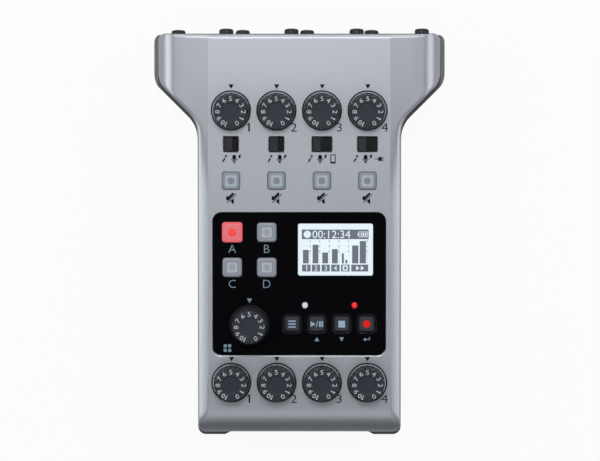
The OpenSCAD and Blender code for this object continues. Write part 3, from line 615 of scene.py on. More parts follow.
def fluted_barrel_tree():
    """A tapering barrel whose radius dips at each flute."""
    tree, given, output = new_tree("Fluted Barrel", [
        ("Foot Radius", "NodeSocketFloat"), ("Top Radius", "NodeSocketFloat"), ("Height", "NodeSocketFloat"),
        ("Flutes", "NodeSocketInt"), ("Flute Depth", "NodeSocketFloat"), ("Material", "NodeSocketMaterial")])
    take = given.outputs
    tube = tree.nodes.new("GeometryNodeMeshCylinder")
    tube.fill_type = "NONE"
    tube.inputs["Side Segments"].default_value = 3
    tree.links.new(math_node(tree, "MULTIPLY", take["Flutes"], POINTS_PER_FLUTE), tube.inputs["Vertices"])
    tree.links.new(take["Height"], tube.inputs["Depth"])
    where = tree.nodes.new("ShaderNodeSeparateXYZ")
    tree.links.new(tree.nodes.new("GeometryNodeInputPosition").outputs[0], where.inputs[0])
    angle = math_node(tree, "ARCTAN2", where.outputs["Y"], where.outputs["X"])
    wave = math_node(tree, "COSINE", math_node(tree, "MULTIPLY", angle, take["Flutes"]))
    dip = math_node(tree, "MULTIPLY", math_node(tree, "MULTIPLY_ADD", wave, 0.5, 0.5), take["Flute Depth"])
    share = math_node(tree, "ADD", math_node(tree, "DIVIDE", where.outputs["Z"], take["Height"]), 0.5)
    narrowing = math_node(tree, "SUBTRACT", take["Top Radius"], take["Foot Radius"])
    taper = math_node(tree, "MULTIPLY", narrowing, share)
    radius = math_node(tree, "SUBTRACT", math_node(tree, "ADD", take["Foot Radius"], taper), dip)
    place = tree.nodes.new("ShaderNodeCombineXYZ")
    tree.links.new(math_node(tree, "MULTIPLY", math_node(tree, "COSINE", angle), radius), place.inputs["X"])
    tree.links.new(math_node(tree, "MULTIPLY", math_node(tree, "SINE", angle), radius), place.inputs["Y"])
    tree.links.new(math_node(tree, "MULTIPLY", share, take["Height"]), place.inputs["Z"])
    move = tree.nodes.new("GeometryNodeSetPosition")
    tree.links.new(tube.outputs["Mesh"], move.inputs["Geometry"])
    tree.links.new(place.outputs[0], move.inputs["Position"])
    end_tree(tree, given, output, move.outputs["Geometry"])
    return tree


def bar_row_tree(name, rounded):
    """Equal bars in a row: rounded ribs or flat ticks."""
    tree, given, output = new_tree(name, [
        ("Count", "NodeSocketInt"), ("Step", "NodeSocketVector"), ("Bar Size", "NodeSocketVector"),
        ("Material", "NodeSocketMaterial")])
    take = given.outputs
    line = tree.nodes.new("GeometryNodeMeshLine")
    tree.links.new(take["Count"], line.inputs["Count"])
    tree.links.new(take["Step"], line.inputs["Offset"])
    lay = tree.nodes.new("GeometryNodeTransform")
    if rounded:
        rod = tree.nodes.new("GeometryNodeMeshCylinder")
        rod.inputs["Vertices"].default_value = 16
        rod.inputs["Radius"].default_value = 0.5
        rod.inputs["Depth"].default_value = 1.0
        lay.inputs["Rotation"].default_value = (0.0, math.pi / 2, 0.0)
        tree.links.new(rod.outputs["Mesh"], lay.inputs["Geometry"])
    else:
        block = tree.nodes.new("GeometryNodeMeshCube")
        tree.links.new(block.outputs["Mesh"], lay.inputs["Geometry"])
    stand = tree.nodes.new("GeometryNodeInstanceOnPoints")
    tree.links.new(line.outputs["Mesh"], stand.inputs["Points"])
    tree.links.new(lay.outputs["Geometry"], stand.inputs["Instance"])
    tree.links.new(take["Bar Size"], stand.inputs["Scale"])
    end_tree(tree, given, output, stand.outputs["Instances"])
    return tree


def screw_set_tree():
    """The same screw at every point, each turned by its own seeded angle about +Y."""
    tree, given, output = new_tree("Screw Set", [
        ("Screw", "NodeSocketObject"), ("Seed", "NodeSocketInt"), ("Material", "NodeSocketMaterial")])
    take = given.outputs
    info = tree.nodes.new("GeometryNodeObjectInfo")
    tree.links.new(take["Screw"], info.inputs["Object"])
    turn = tree.nodes.new("FunctionNodeRandomValue")
    turn.data_type = "FLOAT_VECTOR"
    turn.inputs["Min"].default_value = (0.0, 0.0, 0.0)
    turn.inputs["Max"].default_value = (0.0, math.pi / 2, 0.0)
    tree.links.new(take["Seed"], turn.inputs["Seed"])
    stand = tree.nodes.new("GeometryNodeInstanceOnPoints")
    tree.links.new(take["Geometry"], stand.inputs["Points"])
    tree.links.new(info.outputs["Geometry"], stand.inputs["Instance"])
    tree.links.new(turn.outputs["Value"], stand.inputs["Rotation"])
    end_tree(tree, given, output, stand.outputs["Instances"])
    return tree


def grown(tree, values, points=()):
    """Runs a tree on loose points with the values for its named inputs, and returns its mesh."""
    mesh = bpy.data.meshes.new("seed")
    mesh.from_pydata(list(points), [], [])
    thing = link("seed", mesh)
    grow = thing.modifiers.new(tree.name, "NODES")
    grow.node_group = tree
    for item in tree.interface.items_tree:
        if item.item_type == "SOCKET" and item.in_out == "INPUT" and item.name in values:
            grow[item.identifier] = values[item.name]
    bpy.context.view_layer.update()
    return plain_mesh(thing)


# Finishes

BUMP_DEPTH = 0.00008


def grain_group():
    """Moulded Grain: drifting tone and roughness and a fine height, from Object coordinates."""
    group = bpy.data.node_groups.new("Moulded Grain", "ShaderNodeTree")
    takes = (("Color", "NodeSocketColor"), ("Grain", "NodeSocketFloat"), ("Tone", "NodeSocketFloat"),
             ("Roughness", "NodeSocketFloat"), ("Roughness Change", "NodeSocketFloat"))
    gives = (("Color", "NodeSocketColor"), ("Roughness", "NodeSocketFloat"), ("Height", "NodeSocketFloat"))
    for way, sockets in (("INPUT", takes), ("OUTPUT", gives)):
        for label, kind in sockets:
            group.interface.new_socket(label, in_out=way, socket_type=kind)
    given = group.nodes.new("NodeGroupInput")
    output = group.nodes.new("NodeGroupOutput")
    where = group.nodes.new("ShaderNodeTexCoord").outputs["Object"]
    fine = group.nodes.new("ShaderNodeTexNoise")
    fine.inputs["Detail"].default_value = 3.0
    group.links.new(where, fine.inputs["Vector"])
    group.links.new(given.outputs["Grain"], fine.inputs["Scale"])
    slow = group.nodes.new("ShaderNodeTexNoise")
    slow.inputs["Scale"].default_value = 38.0
    slow.inputs["Detail"].default_value = 2.0
    group.links.new(where, slow.inputs["Vector"])
    both = math_node(group, "ADD", math_node(group, "MULTIPLY", fine.outputs["Fac"], 0.7),
                     math_node(group, "MULTIPLY", slow.outputs["Fac"], 0.3))
    drift = math_node(group, "SUBTRACT", both, 0.5)
    shade = group.nodes.new("ShaderNodeVectorMath")
    shade.operation = "SCALE"
    group.links.new(given.outputs["Color"], shade.inputs[0])
    lightness = math_node(group, "ADD", math_node(group, "MULTIPLY", drift, given.outputs["Tone"]), 1.0)
    group.links.new(lightness, shade.inputs["Scale"])
    group.links.new(shade.outputs[0], output.inputs["Color"])
    change = math_node(group, "MULTIPLY", drift, given.outputs["Roughness Change"])
    group.links.new(math_node(group, "ADD", given.outputs["Roughness"], change), output.inputs["Roughness"])
    group.links.new(fine.outputs["Fac"], output.inputs["Height"])
    return group


def finish(name, colour, roughness, grain=3000.0, tone=0.1, change=0.1, bump=0.05, **sockets):
    """Keeps a material from the Moulded Grain group in FINISH; other shader sockets are given by name."""
    material = bpy.data.materials.new(name)
    material.use_nodes = True
    tree = material.node_tree
    shader = tree.nodes["Principled BSDF"]
    texture = tree.nodes.new("ShaderNodeGroup")
    texture.node_tree = TREES["grain"]
    texture.inputs["Color"].default_value = (*colour, 1.0)
    texture.inputs["Grain"].default_value = grain
    texture.inputs["Tone"].default_value = tone
    texture.inputs["Roughness"].default_value = roughness
    texture.inputs["Roughness Change"].default_value = change
    tree.links.new(texture.outputs["Color"], shader.inputs["Base Color"])
    tree.links.new(texture.outputs["Roughness"], shader.inputs["Roughness"])
    lift = tree.nodes.new("ShaderNodeBump")
    lift.inputs["Strength"].default_value = bump
    lift.inputs["Distance"].default_value = BUMP_DEPTH
    tree.links.new(texture.outputs["Height"], lift.inputs["Height"])
    tree.links.new(lift.outputs["Normal"], shader.inputs["Normal"])
    for label, value in sockets.items():
        shader.inputs[label.replace("_", " ")].default_value = value
    FINISH[name] = material
    return material


def toned(material, high, glow=None):
    """Mixes the finish's colour with a second one by the piece's tone; with a glow, as light of its own."""
    tree = material.node_tree
    shader = tree.nodes["Principled BSDF"]
    texture = next(n for n in tree.nodes if n.type == "GROUP")
    tone = tree.nodes.new("ShaderNodeAttribute")
    tone.attribute_name = "tone"
    blend = tree.nodes.new("ShaderNodeMix")
    blend.data_type = "RGBA"
    blend.inputs["A"].default_value = texture.inputs["Color"].default_value
    blend.inputs["B"].default_value = (*high, 1.0)
    tree.links.new(tone.outputs["Fac"], blend.inputs["Factor"])
    tree.links.new(blend.outputs["Result"], texture.inputs["Color"])
    if glow is not None:
        tree.links.remove(shader.inputs["Base Color"].links[0])
        shader.inputs["Base Color"].default_value = tuple(0.6 * (1 - glow) * c for c in high) + (1.0,)
        tree.links.new(texture.outputs["Color"], shader.inputs["Emission Color"])
        shader.inputs["Emission Strength"].default_value = glow


def moulded_finishes():
    """Paint, plastic and rubber of the case, knobs, sliders and sockets."""
    c = colours()
    knob = {"change": 0.12, "Specular_IOR_Level": 0.3}
    slider = {"change": 0.15, "bump": 0.08}
    shell = {"grain": 2400.0, "tone": 0.16, "change": 0.2}
    socket = {"grain": 2600.0, "tone": 0.16, "change": 0.2}
    finish("silver_paint", c.panel, 0.40, grain=5200.0, Metallic=0.84)
    finish("charcoal_shell", c.shell, 0.55, bump=0.22, **shell)
    finish("switch_black", srgb(34, 34, 37), 0.5, bump=0.14, **shell)
    finish("slate_knob", c.knob, 0.52, tone=0.08, **knob)
    finish("transport_slate", srgb(40, 45, 55), 0.46, tone=0.08, **knob)
    finish("knob_skirt", srgb(14, 15, 18), 0.5, tone=0.12, change=0.12, Specular_IOR_Level=0.2)
    # Black of the transport keys' collars; the same finish also paints the shadow strip beside each slider cap
    finish("transport_ring", srgb(12, 12, 16), 0.5, change=0.12, Specular_IOR_Level=0.25)
    finish("slider_black", srgb(34, 37, 44), 0.55, Specular_IOR_Level=0.3, **slider)
    finish("slider_plate", srgb(20, 21, 26), 0.6, Specular_IOR_Level=0.25, **slider)
    finish("window_gloss", srgb(6, 6, 9), 0.16, 900.0, 0.2, 0.06, 0.0, Specular_IOR_Level=0.12)
    finish("display_frame", srgb(30, 31, 34), 0.5)
    finish("socket_black", srgb(30, 31, 34), 0.48, bump=0.14, **socket)
    finish("screw_black", srgb(24, 25, 27), 0.32, bump=0.06, Metallic=0.4, **socket)
    finish("foot_rubber", srgb(38, 38, 40), 0.82, 1800.0, 0.2, 0.16, 0.3)


def print_finishes():
    """Inks on the top, the window, the keys and the dials."""
    c = colours()
    matt = {"Specular_IOR_Level": 0.1}
    inks = (
        ("ink_dark", c.ink, matt), ("ink_line", srgb(30, 31, 38), matt), ("ink_red", srgb(216, 32, 24), matt),
        ("ink_slate", srgb(114, 138, 156), {}), ("ink_key", srgb(142, 166, 188), {}),
        ("ink_pale", srgb(184, 188, 194), {}))
    for name, colour, gloss in inks:
        finish(name, colour, 0.6, bump=0.02, **gloss)


def inside_finishes():
    """Bare metal, boards and components."""
    metal = {"grain": 2600.0, "tone": 0.12, "change": 0.2, "bump": 0.04, "Metallic": 1.0}
    finish("polished_ring", srgb(186, 190, 197), 0.36, 3000.0, 0.06, 0.05, 0.0, Metallic=0.8)
    finish("contact_gold", srgb(214, 170, 88), 0.28, 2600.0, 0.12, 0.14, 0.03, Metallic=1.0)
    finish("screw_steel", srgb(170, 170, 172), 0.34, **metal)
    finish("socket_steel", srgb(182, 183, 186), 0.3, **metal)
    finish("shaft_metal", srgb(190, 190, 188), 0.32, **metal)
    finish("cell_can", srgb(120, 124, 130), 0.36, 1600.0, 0.14, 0.2, 0.04, Metallic=0.7)
    finish("board_green", srgb(24, 78, 52), 0.42, 1300.0, 0.3, 0.2, 0.12)
    finish("component_grey", srgb(96, 98, 102), 0.5, 2000.0, 0.2, 0.2, 0.12)


def toned_finishes():
    """Clear keys and pads, and the lit pad, lamps and screen with light of their own."""
    c = colours()
    key = {"grain": 2600.0, "tone": 0.06, "bump": 0.04}
    screen = {"grain": 60.0, "tone": 0.02, "change": 0.06, "bump": 0.0, "Specular_IOR_Level": 0.2}
    lens = {"grain": 2600.0, "tone": 0.03, "change": 0.06, "bump": 0.0, "Specular_IOR_Level": 0.3}
    screen_ink = srgb(107, 114, 124)
    toned(finish("clear_key", c.mute, 0.34, Coat_Weight=0.2, **key), srgb(164, 178, 187))
    toned(finish("pad_grey", c.pad, 0.38, Coat_Weight=0.15, **key), srgb(174, 180, 189))
    toned(finish("pad_red", srgb(226, 116, 122), 0.36, 2600.0, 0.04, bump=0.03), c.lit, 0.85)
    toned(finish("screen_glow", c.screen, 0.3, **screen), srgb(236, 249, 255), 0.97)
    toned(finish("screen_ink", screen_ink, 0.4, **screen), srgb(150, 160, 168), 0.97)
    toned(finish("lens_white", srgb(168, 178, 186), 0.3, **lens), srgb(216, 223, 229), 0.95)
    toned(finish("lens_red", srgb(190, 22, 30), 0.3, **lens), srgb(255, 44, 54), 0.95)


# Upper case

def edge_half(row):
    """Half the width of the top at a row: wings, slanted sides, then the narrow body."""
    if row < REAR_CORNER:
        return WING_HALF - REAR_CORNER + math.sqrt(max(0.0, REAR_CORNER ** 2 - (REAR_CORNER - row) ** 2))
    if row < BEND_ROW - BEND_REACH:
        return WING_HALF
    if row < BEND_ROW + BEND_REACH * DIAGONAL:
        return WING_HALF - BEND_RADIUS + math.sqrt(BEND_RADIUS ** 2 - (row - BEND_ROW + BEND_REACH) ** 2)
    if row < NOTCH_ROW - NOTCH_REACH * DIAGONAL:
        return WING_HALF - (row - BEND_ROW)
    if row < NOTCH_ROW + NOTCH_REACH:
        return BODY_HALF + NOTCH_RADIUS - math.sqrt(NOTCH_RADIUS ** 2 - (row - NOTCH_ROW - NOTCH_REACH) ** 2)
    rest = row - (TOP_LENGTH - FRONT_CORNER)
    if rest <= 0.0:
        return BODY_HALF
    return BODY_HALF - FRONT_CORNER + math.sqrt(max(0.0, FRONT_CORNER ** 2 - rest ** 2))


def wing_drop(x):
    """Drop of a wing at a distance from the middle: a falling plane, then the roll over the outer edge."""
    fall = math.tan(WING_FALL) * (min(x, WING_START) - FLAT_HALF)
    if x <= WING_START:
        return max(0.0, fall)
    run = x - WING_HALF + WING_RADIUS
    return fall + WING_RADIUS * math.cos(WING_FALL) - math.sqrt(max(0.0, WING_RADIUS ** 2 - run ** 2))


def wing_edge(half):
    """Distance from the edge and drop, from the crease out to the edge of a wing that ends at half."""
    width = max(half - FLAT_HALF, 1.0)
    slanted = smooth_step(WING_HALF - half, 0.0, SLANT_BLEND)
    rolled = min(max(half - WING_START, WING_ROLL_LEAST), 0.55 * width)
    middle = 0.6 * width
    points = [(width, 0.0), (middle, wing_drop(half - middle))]
    for i in range(8):
        angle = WING_FALL + (math.pi / 2 - WING_FALL) * i / 7
        off = rolled * (1 - math.sin(angle)) / (1 - math.sin(WING_FALL))
        inside = max(0.0, SLANT_ROUND - off * 0.75)
        round_drop = SLANT_ROUND - math.sqrt(SLANT_ROUND ** 2 - inside ** 2)
        points.append((off, wing_drop(half - off) + slanted * round_drop))
    return points


def bevel_edge(width):
    """The same for the bright bevel along the narrow body: a slow arc from the crease, then a tight one."""
    full = BODY_HALF - FLAT_HALF
    scale = width / full
    low = math.sin(BEVEL_START)
    sine = math.sin(BEVEL_TURN)
    rest = full - BEVEL_RADIUS * (sine - low)
    small = rest / (1 - sine)
    points = []
    for i in range(6):
        angle = BEVEL_START + (BEVEL_TURN - BEVEL_START) * i / 5
        points.append(((full - BEVEL_RADIUS * (math.sin(angle) - low)) * scale,
                       BEVEL_RADIUS * (math.cos(BEVEL_START) - math.cos(angle))))
    drop = points[-1][1]
    for i in range(1, 5):
        angle = BEVEL_TURN + (math.pi / 2 - BEVEL_TURN) * i / 4
        off = rest - small * (math.sin(angle) - sine)
        points.append((off * scale, drop + small * (math.cos(BEVEL_TURN) - math.cos(angle))))
    return points


def smooth_step(value, low, high):
    """0 below low, 1 above high, smooth between."""
    share = min(1.0, max(0.0, (value - low) / (high - low)))
    return share * share * (3 - 2 * share)


def together(first, second):
    """Two drops of the surface joined smoothly, the larger one leading."""
    return (first ** 3 + second ** 3) ** (1 / 3)


def shell_rows():
    """Rows of the grid, closest where it bends: (row, rear drop, share of the front roll or None)."""
    rows = []
    for share in (0.0, 0.08, 0.3, 0.62, 1.0):
        rear_drop = REAR_ROUND - math.sqrt(REAR_ROUND ** 2 * (1 - (1 - share) ** 2))
        rows.append((REAR_ROUND * share, rear_drop, None))
    wings = [1.6, 2.1, REAR_CORNER, 6.0, 10.0]
    bend = [BEND_ROW - BEND_REACH, 15.9, 16.9, 17.9, 18.9, 19.9, BEND_ROW + BEND_REACH * DIAGONAL]
    slant = [21.8, 23.0, 24.4, 26.0, 27.6]
    notch = [NOTCH_ROW - NOTCH_REACH * DIAGONAL, 31.5, 33.3, 35.2, NOTCH_ROW + NOTCH_REACH]
    body = [40.0 + 4.0 * i for i in range(7)] + [70.0 + 10.2 * i for i in range(8)]
    for row in wings + bend + slant + notch + body:
        rows.append((row, 0.0, None))
    for i in range(17):
        rows.append((TOP_LENGTH - ROLL_RADIUS + roll_point(i / 16)[0], 0.0, i / 16))
    return rows


def roll_point(share):
    """Way forward and drop along the front roll: a slow bend, then a tight one into the front wall."""
    slow = ROLL_NOSE + (ROLL_RADIUS - ROLL_NOSE) / math.sin(ROLL_TURN)
    bent = 0.7
    if share < bent:
        angle = ROLL_TURN * share / bent
        return slow * math.sin(angle), slow * (1 - math.cos(angle))
    angle = ROLL_TURN + (math.pi / 2 - ROLL_TURN) * (share - bent) / (1 - bent)
    centre = slow - ROLL_NOSE
    return (centre * math.sin(ROLL_TURN) + ROLL_NOSE * math.sin(angle),
            slow - centre * math.cos(ROLL_TURN) - ROLL_NOSE * math.cos(angle))


def shell_row(row, rear_drop, turned, inner):
    """One row of points across the case, from the left edge to the right one."""
    half = edge_half(row)
    width = half - FLAT_HALF
    share = smooth_step(row, *BEVEL_ROWS)
    side = [(a[0] + (b[0] - a[0]) * share, a[1] + (b[1] - a[1]) * share)
            for a, b in zip(wing_edge(half), bevel_edge(max(width, 1.0)))]
    way, roll = (0.0, 0.0) if turned is None else roll_point(turned)
    depth = row
    thick = 0.0
    start = FLAT_HALF
    if inner:
        thick = ROOF
        rear_drop = 0.0
        start = FLAT_HALF - INNER_STEP
        if turned is not None:
            depth = TOP_LENGTH - ROLL_RADIUS + way * (1 - WALL / ROLL_RADIUS)
            roll *= 1 - ROOF / ROLL_RADIUS
    right = []
    for off, drop in side:
        x = half - off
        if inner:
            x = start + (half - WALL - start) * (x - FLAT_HALF) / width
        right.append((x, -thick - together(drop, roll + rear_drop)))
    left = [(-x, height) for x, height in right[::-1]]
    middle = [(start * (i / 6 - 1), -thick - roll - rear_drop) for i in range(1, 12)]
    # Sorted, because the inner wall comes in past its crease at the front corners
    across = sorted(left + middle + right, key=lambda point: point[0])
    return [(x, -depth, height) for x, height in across]


def upper_shell():
    """The silver upper case: a closed shell with its edges rounded as they run around it."""
    shape = Shape()
    rows = shell_rows()
    skins = []
    for inner in (False, True):
        grid = [shape.ring(shell_row(*row, inner)) for row in rows]
        for upper, lower in zip(grid, grid[1:]):
            for i in range(len(upper) - 1):
                quad = (upper[i], lower[i], lower[i + 1], upper[i + 1])
                shape.face(quad[::-1] if inner else quad)
        rim = [r[0] for r in grid] + grid[-1][1:-1] + [r[-1] for r in grid[::-1]]
        foot = shape.ring((shape.points[i].x, shape.points[i].y, -SHELL_DEPTH) for i in rim)
        if inner:
            shape.bridge(rim, foot, 0, False)
        else:
            shape.bridge(foot, rim, 0, False)
        skins.append((grid[0], foot))
    (rear_out, foot_out), (rear_in, foot_in) = skins
    shape.bridge(foot_in, foot_out, 0, False)
    shape.bridge(rear_in, rear_out, 0, False)
    shape.face((rear_out[0], foot_out[0], foot_in[0], rear_in[0]))
    shape.face((rear_in[-1], foot_in[-1], foot_out[-1], rear_out[-1]))
    return shape


def opening(shape, outline, edge, x, row):
    """A prism for an opening, flared at the surface by a softened edge."""
    flare = 1.0 + 2 * edge / max(abs(p[0]) for p in outline)
    profile = ((CUT_LOW, 1.0), (-edge, 1.0), (edge, flare), (CUT_TOP, flare))
    shape.loft([level(outline, height, grow, x, -row) for height, grow in profile])


class RECORDER_OT_upper_case(bpy.types.Operator):
    """Moulds the silver upper case with its wings, rolled front and openings"""

    bl_idname = "recorder.upper_case"
    bl_label = "Upper case"

    def execute(self, context):
        mesh = mesh_of("upper_case_shell", upper_shell(), ["silver_paint"], PANEL)
        shell = carve(link("upper_case_shell", mesh), self.recess(), PANEL)
        shell = carve(shell, self.openings(), PANEL)
        settle(shell, "case", ("upper_case",), 34.0, crease=self.on_crease)
        return {"FINISHED"}

    def recess(self):
        """The window's recess, its front edge sloping away."""
        layers = []
        for flare, height in ((0.0, RECESS_FLOOR), (0.0, -RECESS_EDGE), (RECESS_FLARE / 2, 0.0),
                              (RECESS_FLARE, RECESS_EDGE), (RECESS_FLARE, CUT_TOP)):
            outline = rounded_rectangle(WINDOW_SIZE[0] + WINDOW_PLAY, WINDOW_SIZE[1] + WINDOW_PLAY + flare,
                                        WINDOW_CORNER + WINDOW_PLAY / 2, 8)
            layers.append(level(outline, height, 1.0, 0.0, -WINDOW_ROW - flare / 2))
        return Shape().loft(layers)

    def openings(self):
        """Prisms for the knobs, mute keys and sliders, and for what stands under the window."""
        holes = Shape()
        mute = MUTE_WIDTH + 2 * MUTE_GAP
        for x in COLUMNS:
            for row in (GAIN_ROW, PHONES_ROW):
                opening(holes, circle(KNOB_HOLE, 28), COVERED_EDGE, x, row)
            opening(holes, rounded_rectangle(mute, mute, KEY_CORNER + MUTE_GAP), MUTE_EDGE, x, MUTE_ROW)
        for x, width in zip(COLUMNS, SWITCH_WIDTHS):
            outline = rounded_rectangle(width, SWITCH_LENGTH, SWITCH_CORNER)
            opening(holes, outline, sizes().opening_edge, x, SWITCH_ROW)
        pad = PAD_WIDTH + 2 * KEY_GAP
        pad_line = rounded_rectangle(pad, pad, PAD_HOLE_CORNER)
        transport_line = rounded_rectangle(TRANSPORT_HOLE, TRANSPORT_HOLE, TRANSPORT_HOLE_CORNER)
        covered = [(circle(KNOB_HOLE, 28), PAD_KNOB)]
        covered += [(pad_line, place) for place in PADS]
        covered += [(transport_line, place) for place in TRANSPORT]
        covered += [(circle(LENS_HOLE, 20), place) for place in LENSES]
        covered.append((rounded_rectangle(*DISPLAY_SIZE, DISPLAY_CORNER), DISPLAY))
        for outline, place in covered:
            opening(holes, outline, COVERED_EDGE, *place)
        return holes

    def on_crease(self, point):
        """True on the lines where the sides bend down from the flat middle."""
        place = PANEL_BACK @ point
        if place.z < -2.0 or place.y < -CREASE_END:
            return False
        return abs(abs(place.x) - FLAT_HALF) < 0.01


# Lower case and what is fixed around it

class RECORDER_OT_lower_case(bpy.types.Operator):
    """Rounds the edges of the charcoal lower case, rear panel, battery cover, card door and feet"""

    bl_idname = "recorder.lower_case"
    bl_label = "Lower case"

    def execute(self, context):
        edges = {"lower_case": 0.3, "rear_panel": 0.25, "battery_cover": 0.3, "card_door": 0.15}
        for node, width in edges.items():
            softened(node, width, "charcoal_shell")
        softened("rubber_feet", 0.45, "foot_rubber", segments=3)
        return {"FINISHED"}


class RECORDER_OT_grips(bpy.types.Operator):
    """Adds grip ribs to the battery cover"""

    bl_idname = "recorder.grips"
    bl_label = "Grip ribs"

    PITCH = 1.6
    RIB = (16.0, 0.7, 0.5)
    INSET = 4.0

    def execute(self, context):
        low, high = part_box("battery_cover")
        count = sizes().grip_ribs
        ribs = grown(TREES["ribs"], {
            "Count": count, "Step": (0.0, self.PITCH, 0.0), "Bar Size": self.RIB,
            "Material": FINISH["charcoal_shell"]})
        start = high.y / MM - self.INSET - self.PITCH * (count - 1)
        place = WORLD @ Matrix.Translation(((low.x + high.x) / 2 / MM, start, low.z / MM))
        piece("battery_cover_grip", shape_from(ribs), ["charcoal_shell"], "battery_lid",
              place=place)
        return {"FINISHED"}


# Window, display and lamps

class RECORDER_OT_window(bpy.types.Operator):
    """Finishes the black control window, the lit display and the two lamps"""

    bl_idname = "recorder.window"
    bl_label = "Control window"

    LENS_RADIUS = 1.08
    LENS_EDGE = -0.45
    LENS_DOME = 0.25

    def execute(self, context):
        softened("control_window", 0.18, "window_gloss")
        self.display()
        self.lamps()
        return {"FINISHED"}

    def display(self):
        """The display's frame below and its glowing glass, brighter towards the middle."""
        wide, long = DISPLAY_SIZE
        frame_line = rounded_rectangle(wide + 4.4, long + 4.4, 0.9)
        glass_line = rounded_rectangle(wide - 0.3, long - 0.3, 0.75)
        inner_line = rounded_rectangle(wide - 1.0, long - 1.0, 0.6)
        core_line = rounded_rectangle(wide * 0.6, long * 0.5, 0.6)
        layers = [level(frame_line, BOARD_TOP), level(frame_line, UNDER_ROOF), level(glass_line, UNDER_ROOF),
                  level(glass_line, GLASS_TOP - 0.12), level(inner_line, GLASS_TOP),
                  level(core_line, GLASS_TOP)]
        shape = Shape().loft(layers, [0, 0, 0, 1, 1, 1], [0.0, 0.0, 0.0, 0.0, 0.3, 1.0])
        piece("display_glass", shape, ["display_frame", "screen_glow"], "case",
              ("display_module",), PANEL @ spot(*DISPLAY))

    def lamps(self):
        """A white and a red lamp with shallow domes."""
        shape = Shape()
        rod = circle(self.LENS_RADIUS, 24)
        for number, (x, row) in enumerate(LENSES):
            layers = [level(rod, BOARD_TOP), level(rod, self.LENS_EDGE)]
            tones = [0.0, 0.0]
            for i in range(1, 5):
                angle = math.pi / 2 * i / 5
                layers.append(level(rod, self.LENS_EDGE + self.LENS_DOME * math.sin(angle), math.cos(angle)))
                tones.append(i / 4)
            shape.join(Shape().loft(layers, [number] * len(layers), tones), spot(x, row))
        piece("indicator_lamps", shape, ["lens_white", "lens_red"], "case",
              ("indicator_lenses",))


# Knobs

def fluted(radius, height, flutes, depth):
    """A ring that follows the flutes of the barrel."""
    points = []
    count = flutes * POINTS_PER_FLUTE
    for i in range(count):
        angle = 2 * math.pi * i / count
        reach = radius - depth * 0.5 * (1 + math.cos(flutes * angle))
        points.append((reach * math.cos(angle), reach * math.sin(angle), height))
    return points


def knob_shape():
    """Skirt lip, polished bevel, fluted barrel and dished top, about the knob's own axis."""
    flutes = sizes().flutes
    depth = sizes().flute_depth
    foot, top = BARREL_RADII

    def turned(radius, height):
        return level(circle(radius, flutes * POINTS_PER_FLUTE), height)

    shape = Shape()
    skirt = [turned(SOCKET_RADIUS, SOCKET_TOP), turned(SOCKET_RADIUS, KNOB_FOOT),
             turned(SKIRT_RADIUS - 0.2, KNOB_FOOT), turned(SKIRT_RADIUS, KNOB_FOOT + 0.15),
             turned(SKIRT_RADIUS, SKIRT_TOP - 0.14), turned(SKIRT_RADIUS - 0.1, SKIRT_TOP)]
    ring = [turned(RING_OUTER, SKIRT_TOP), turned(RING_INNER, BARREL_LOW),
            fluted(foot, BARREL_LOW, flutes, depth)]
    shape.loft(skirt + ring, [1] * len(skirt) + [2, 0, 0], high_cap=False)
    barrel = grown(TREES["barrel"], {
        "Foot Radius": foot, "Top Radius": top, "Height": BARREL_HIGH - BARREL_LOW, "Flutes": flutes,
        "Flute Depth": depth, "Material": FINISH["slate_knob"]})
    shape.join(shape_from(barrel), Matrix.Translation((0, 0, BARREL_LOW)))
    edge = [fluted(top, BARREL_HIGH, flutes, depth),
            fluted(top - 0.1, BARREL_HIGH + 0.2, flutes, depth * 0.9),
            fluted(top - 0.3, KNOB_TOP, flutes, depth * 0.7)]
    dish = [turned(radius, KNOB_TOP - sunk) for radius, sunk in DISH]
    shape.loft(edge + dish, low_cap=False)
    return shape


def knob_digits():
    """Numbers 0 to 10 around the top, 5 at the rear, their tops outwards."""
    shape = Shape()
    for number in range(11):
        angle = math.radians(90 - 30 * (5 - number))
        write(shape, str(number), sizes().digit_height, DIGIT_CIRCLE * math.cos(angle),
              -DIGIT_CIRCLE * math.sin(angle), KNOB_TOP, angle - math.pi / 2, THIN, DIAL_STRETCH)
    return shape


class RECORDER_OT_knobs(bpy.types.Operator):
    """Turns the nine fluted knobs and prints their numbers"""

    bl_idname = "recorder.knobs"
    bl_label = "Knobs"

    def execute(self, context):
        ringed = ["slate_knob", "knob_skirt", "polished_ring"]
        plain = ["slate_knob", "knob_skirt", "knob_skirt"]
        knob = knob_shape()
        digits = knob_digits()
        places = [("pad_level", "pad_knob", *PAD_KNOB)]
        for i, x in enumerate(COLUMNS, 1):
            places.append((f"gain_{i}", f"gain_knob_{i}", x, GAIN_ROW))
            places.append((f"phones_{i}", f"phones_knob_{i}", x, PHONES_ROW))
        for body, node, x, row in places:
            place = PANEL @ spot(x, row)
            looks = plain if node == "pad_knob" else ringed
            piece(node + "_turned", knob, looks, body, (node,), place, 28.0)
            piece(node + "_digits", digits, ["ink_pale"], body, (), place, weighted=False)
        return {"FINISHED"}


# Keys and pads

# Marks on the tops of the keys: share of the width, tone and corner radius, from the outside in
MUTE_MARKS = ((0.66, 0.4, 0.8), (0.57, 0.9, 0.7), (0.46, 1.0, 1.0), (0.38, 0.15, 1.25), (0.3, 0.0, 1.0),
              (0.1, 0.0, 0.3))
PAD_MARKS = ((0.7, 0.25, 0.9), (0.67, 0.0, 0.9), (0.53, 0.0, 0.6), (0.48, 1.0, 0.5), (0.4, 0.9, 0.9),
             (0.32, 0.35, 1.18), (0.1, 0.3, 0.36))
LIT_MARKS = ((0.6, 0.0, 1.5), (0.46, 0.0, 1.7), (0.36, 1.0, 1.33), (0.22, 1.0, 0.8), (0.1, 0.6, 0.36))


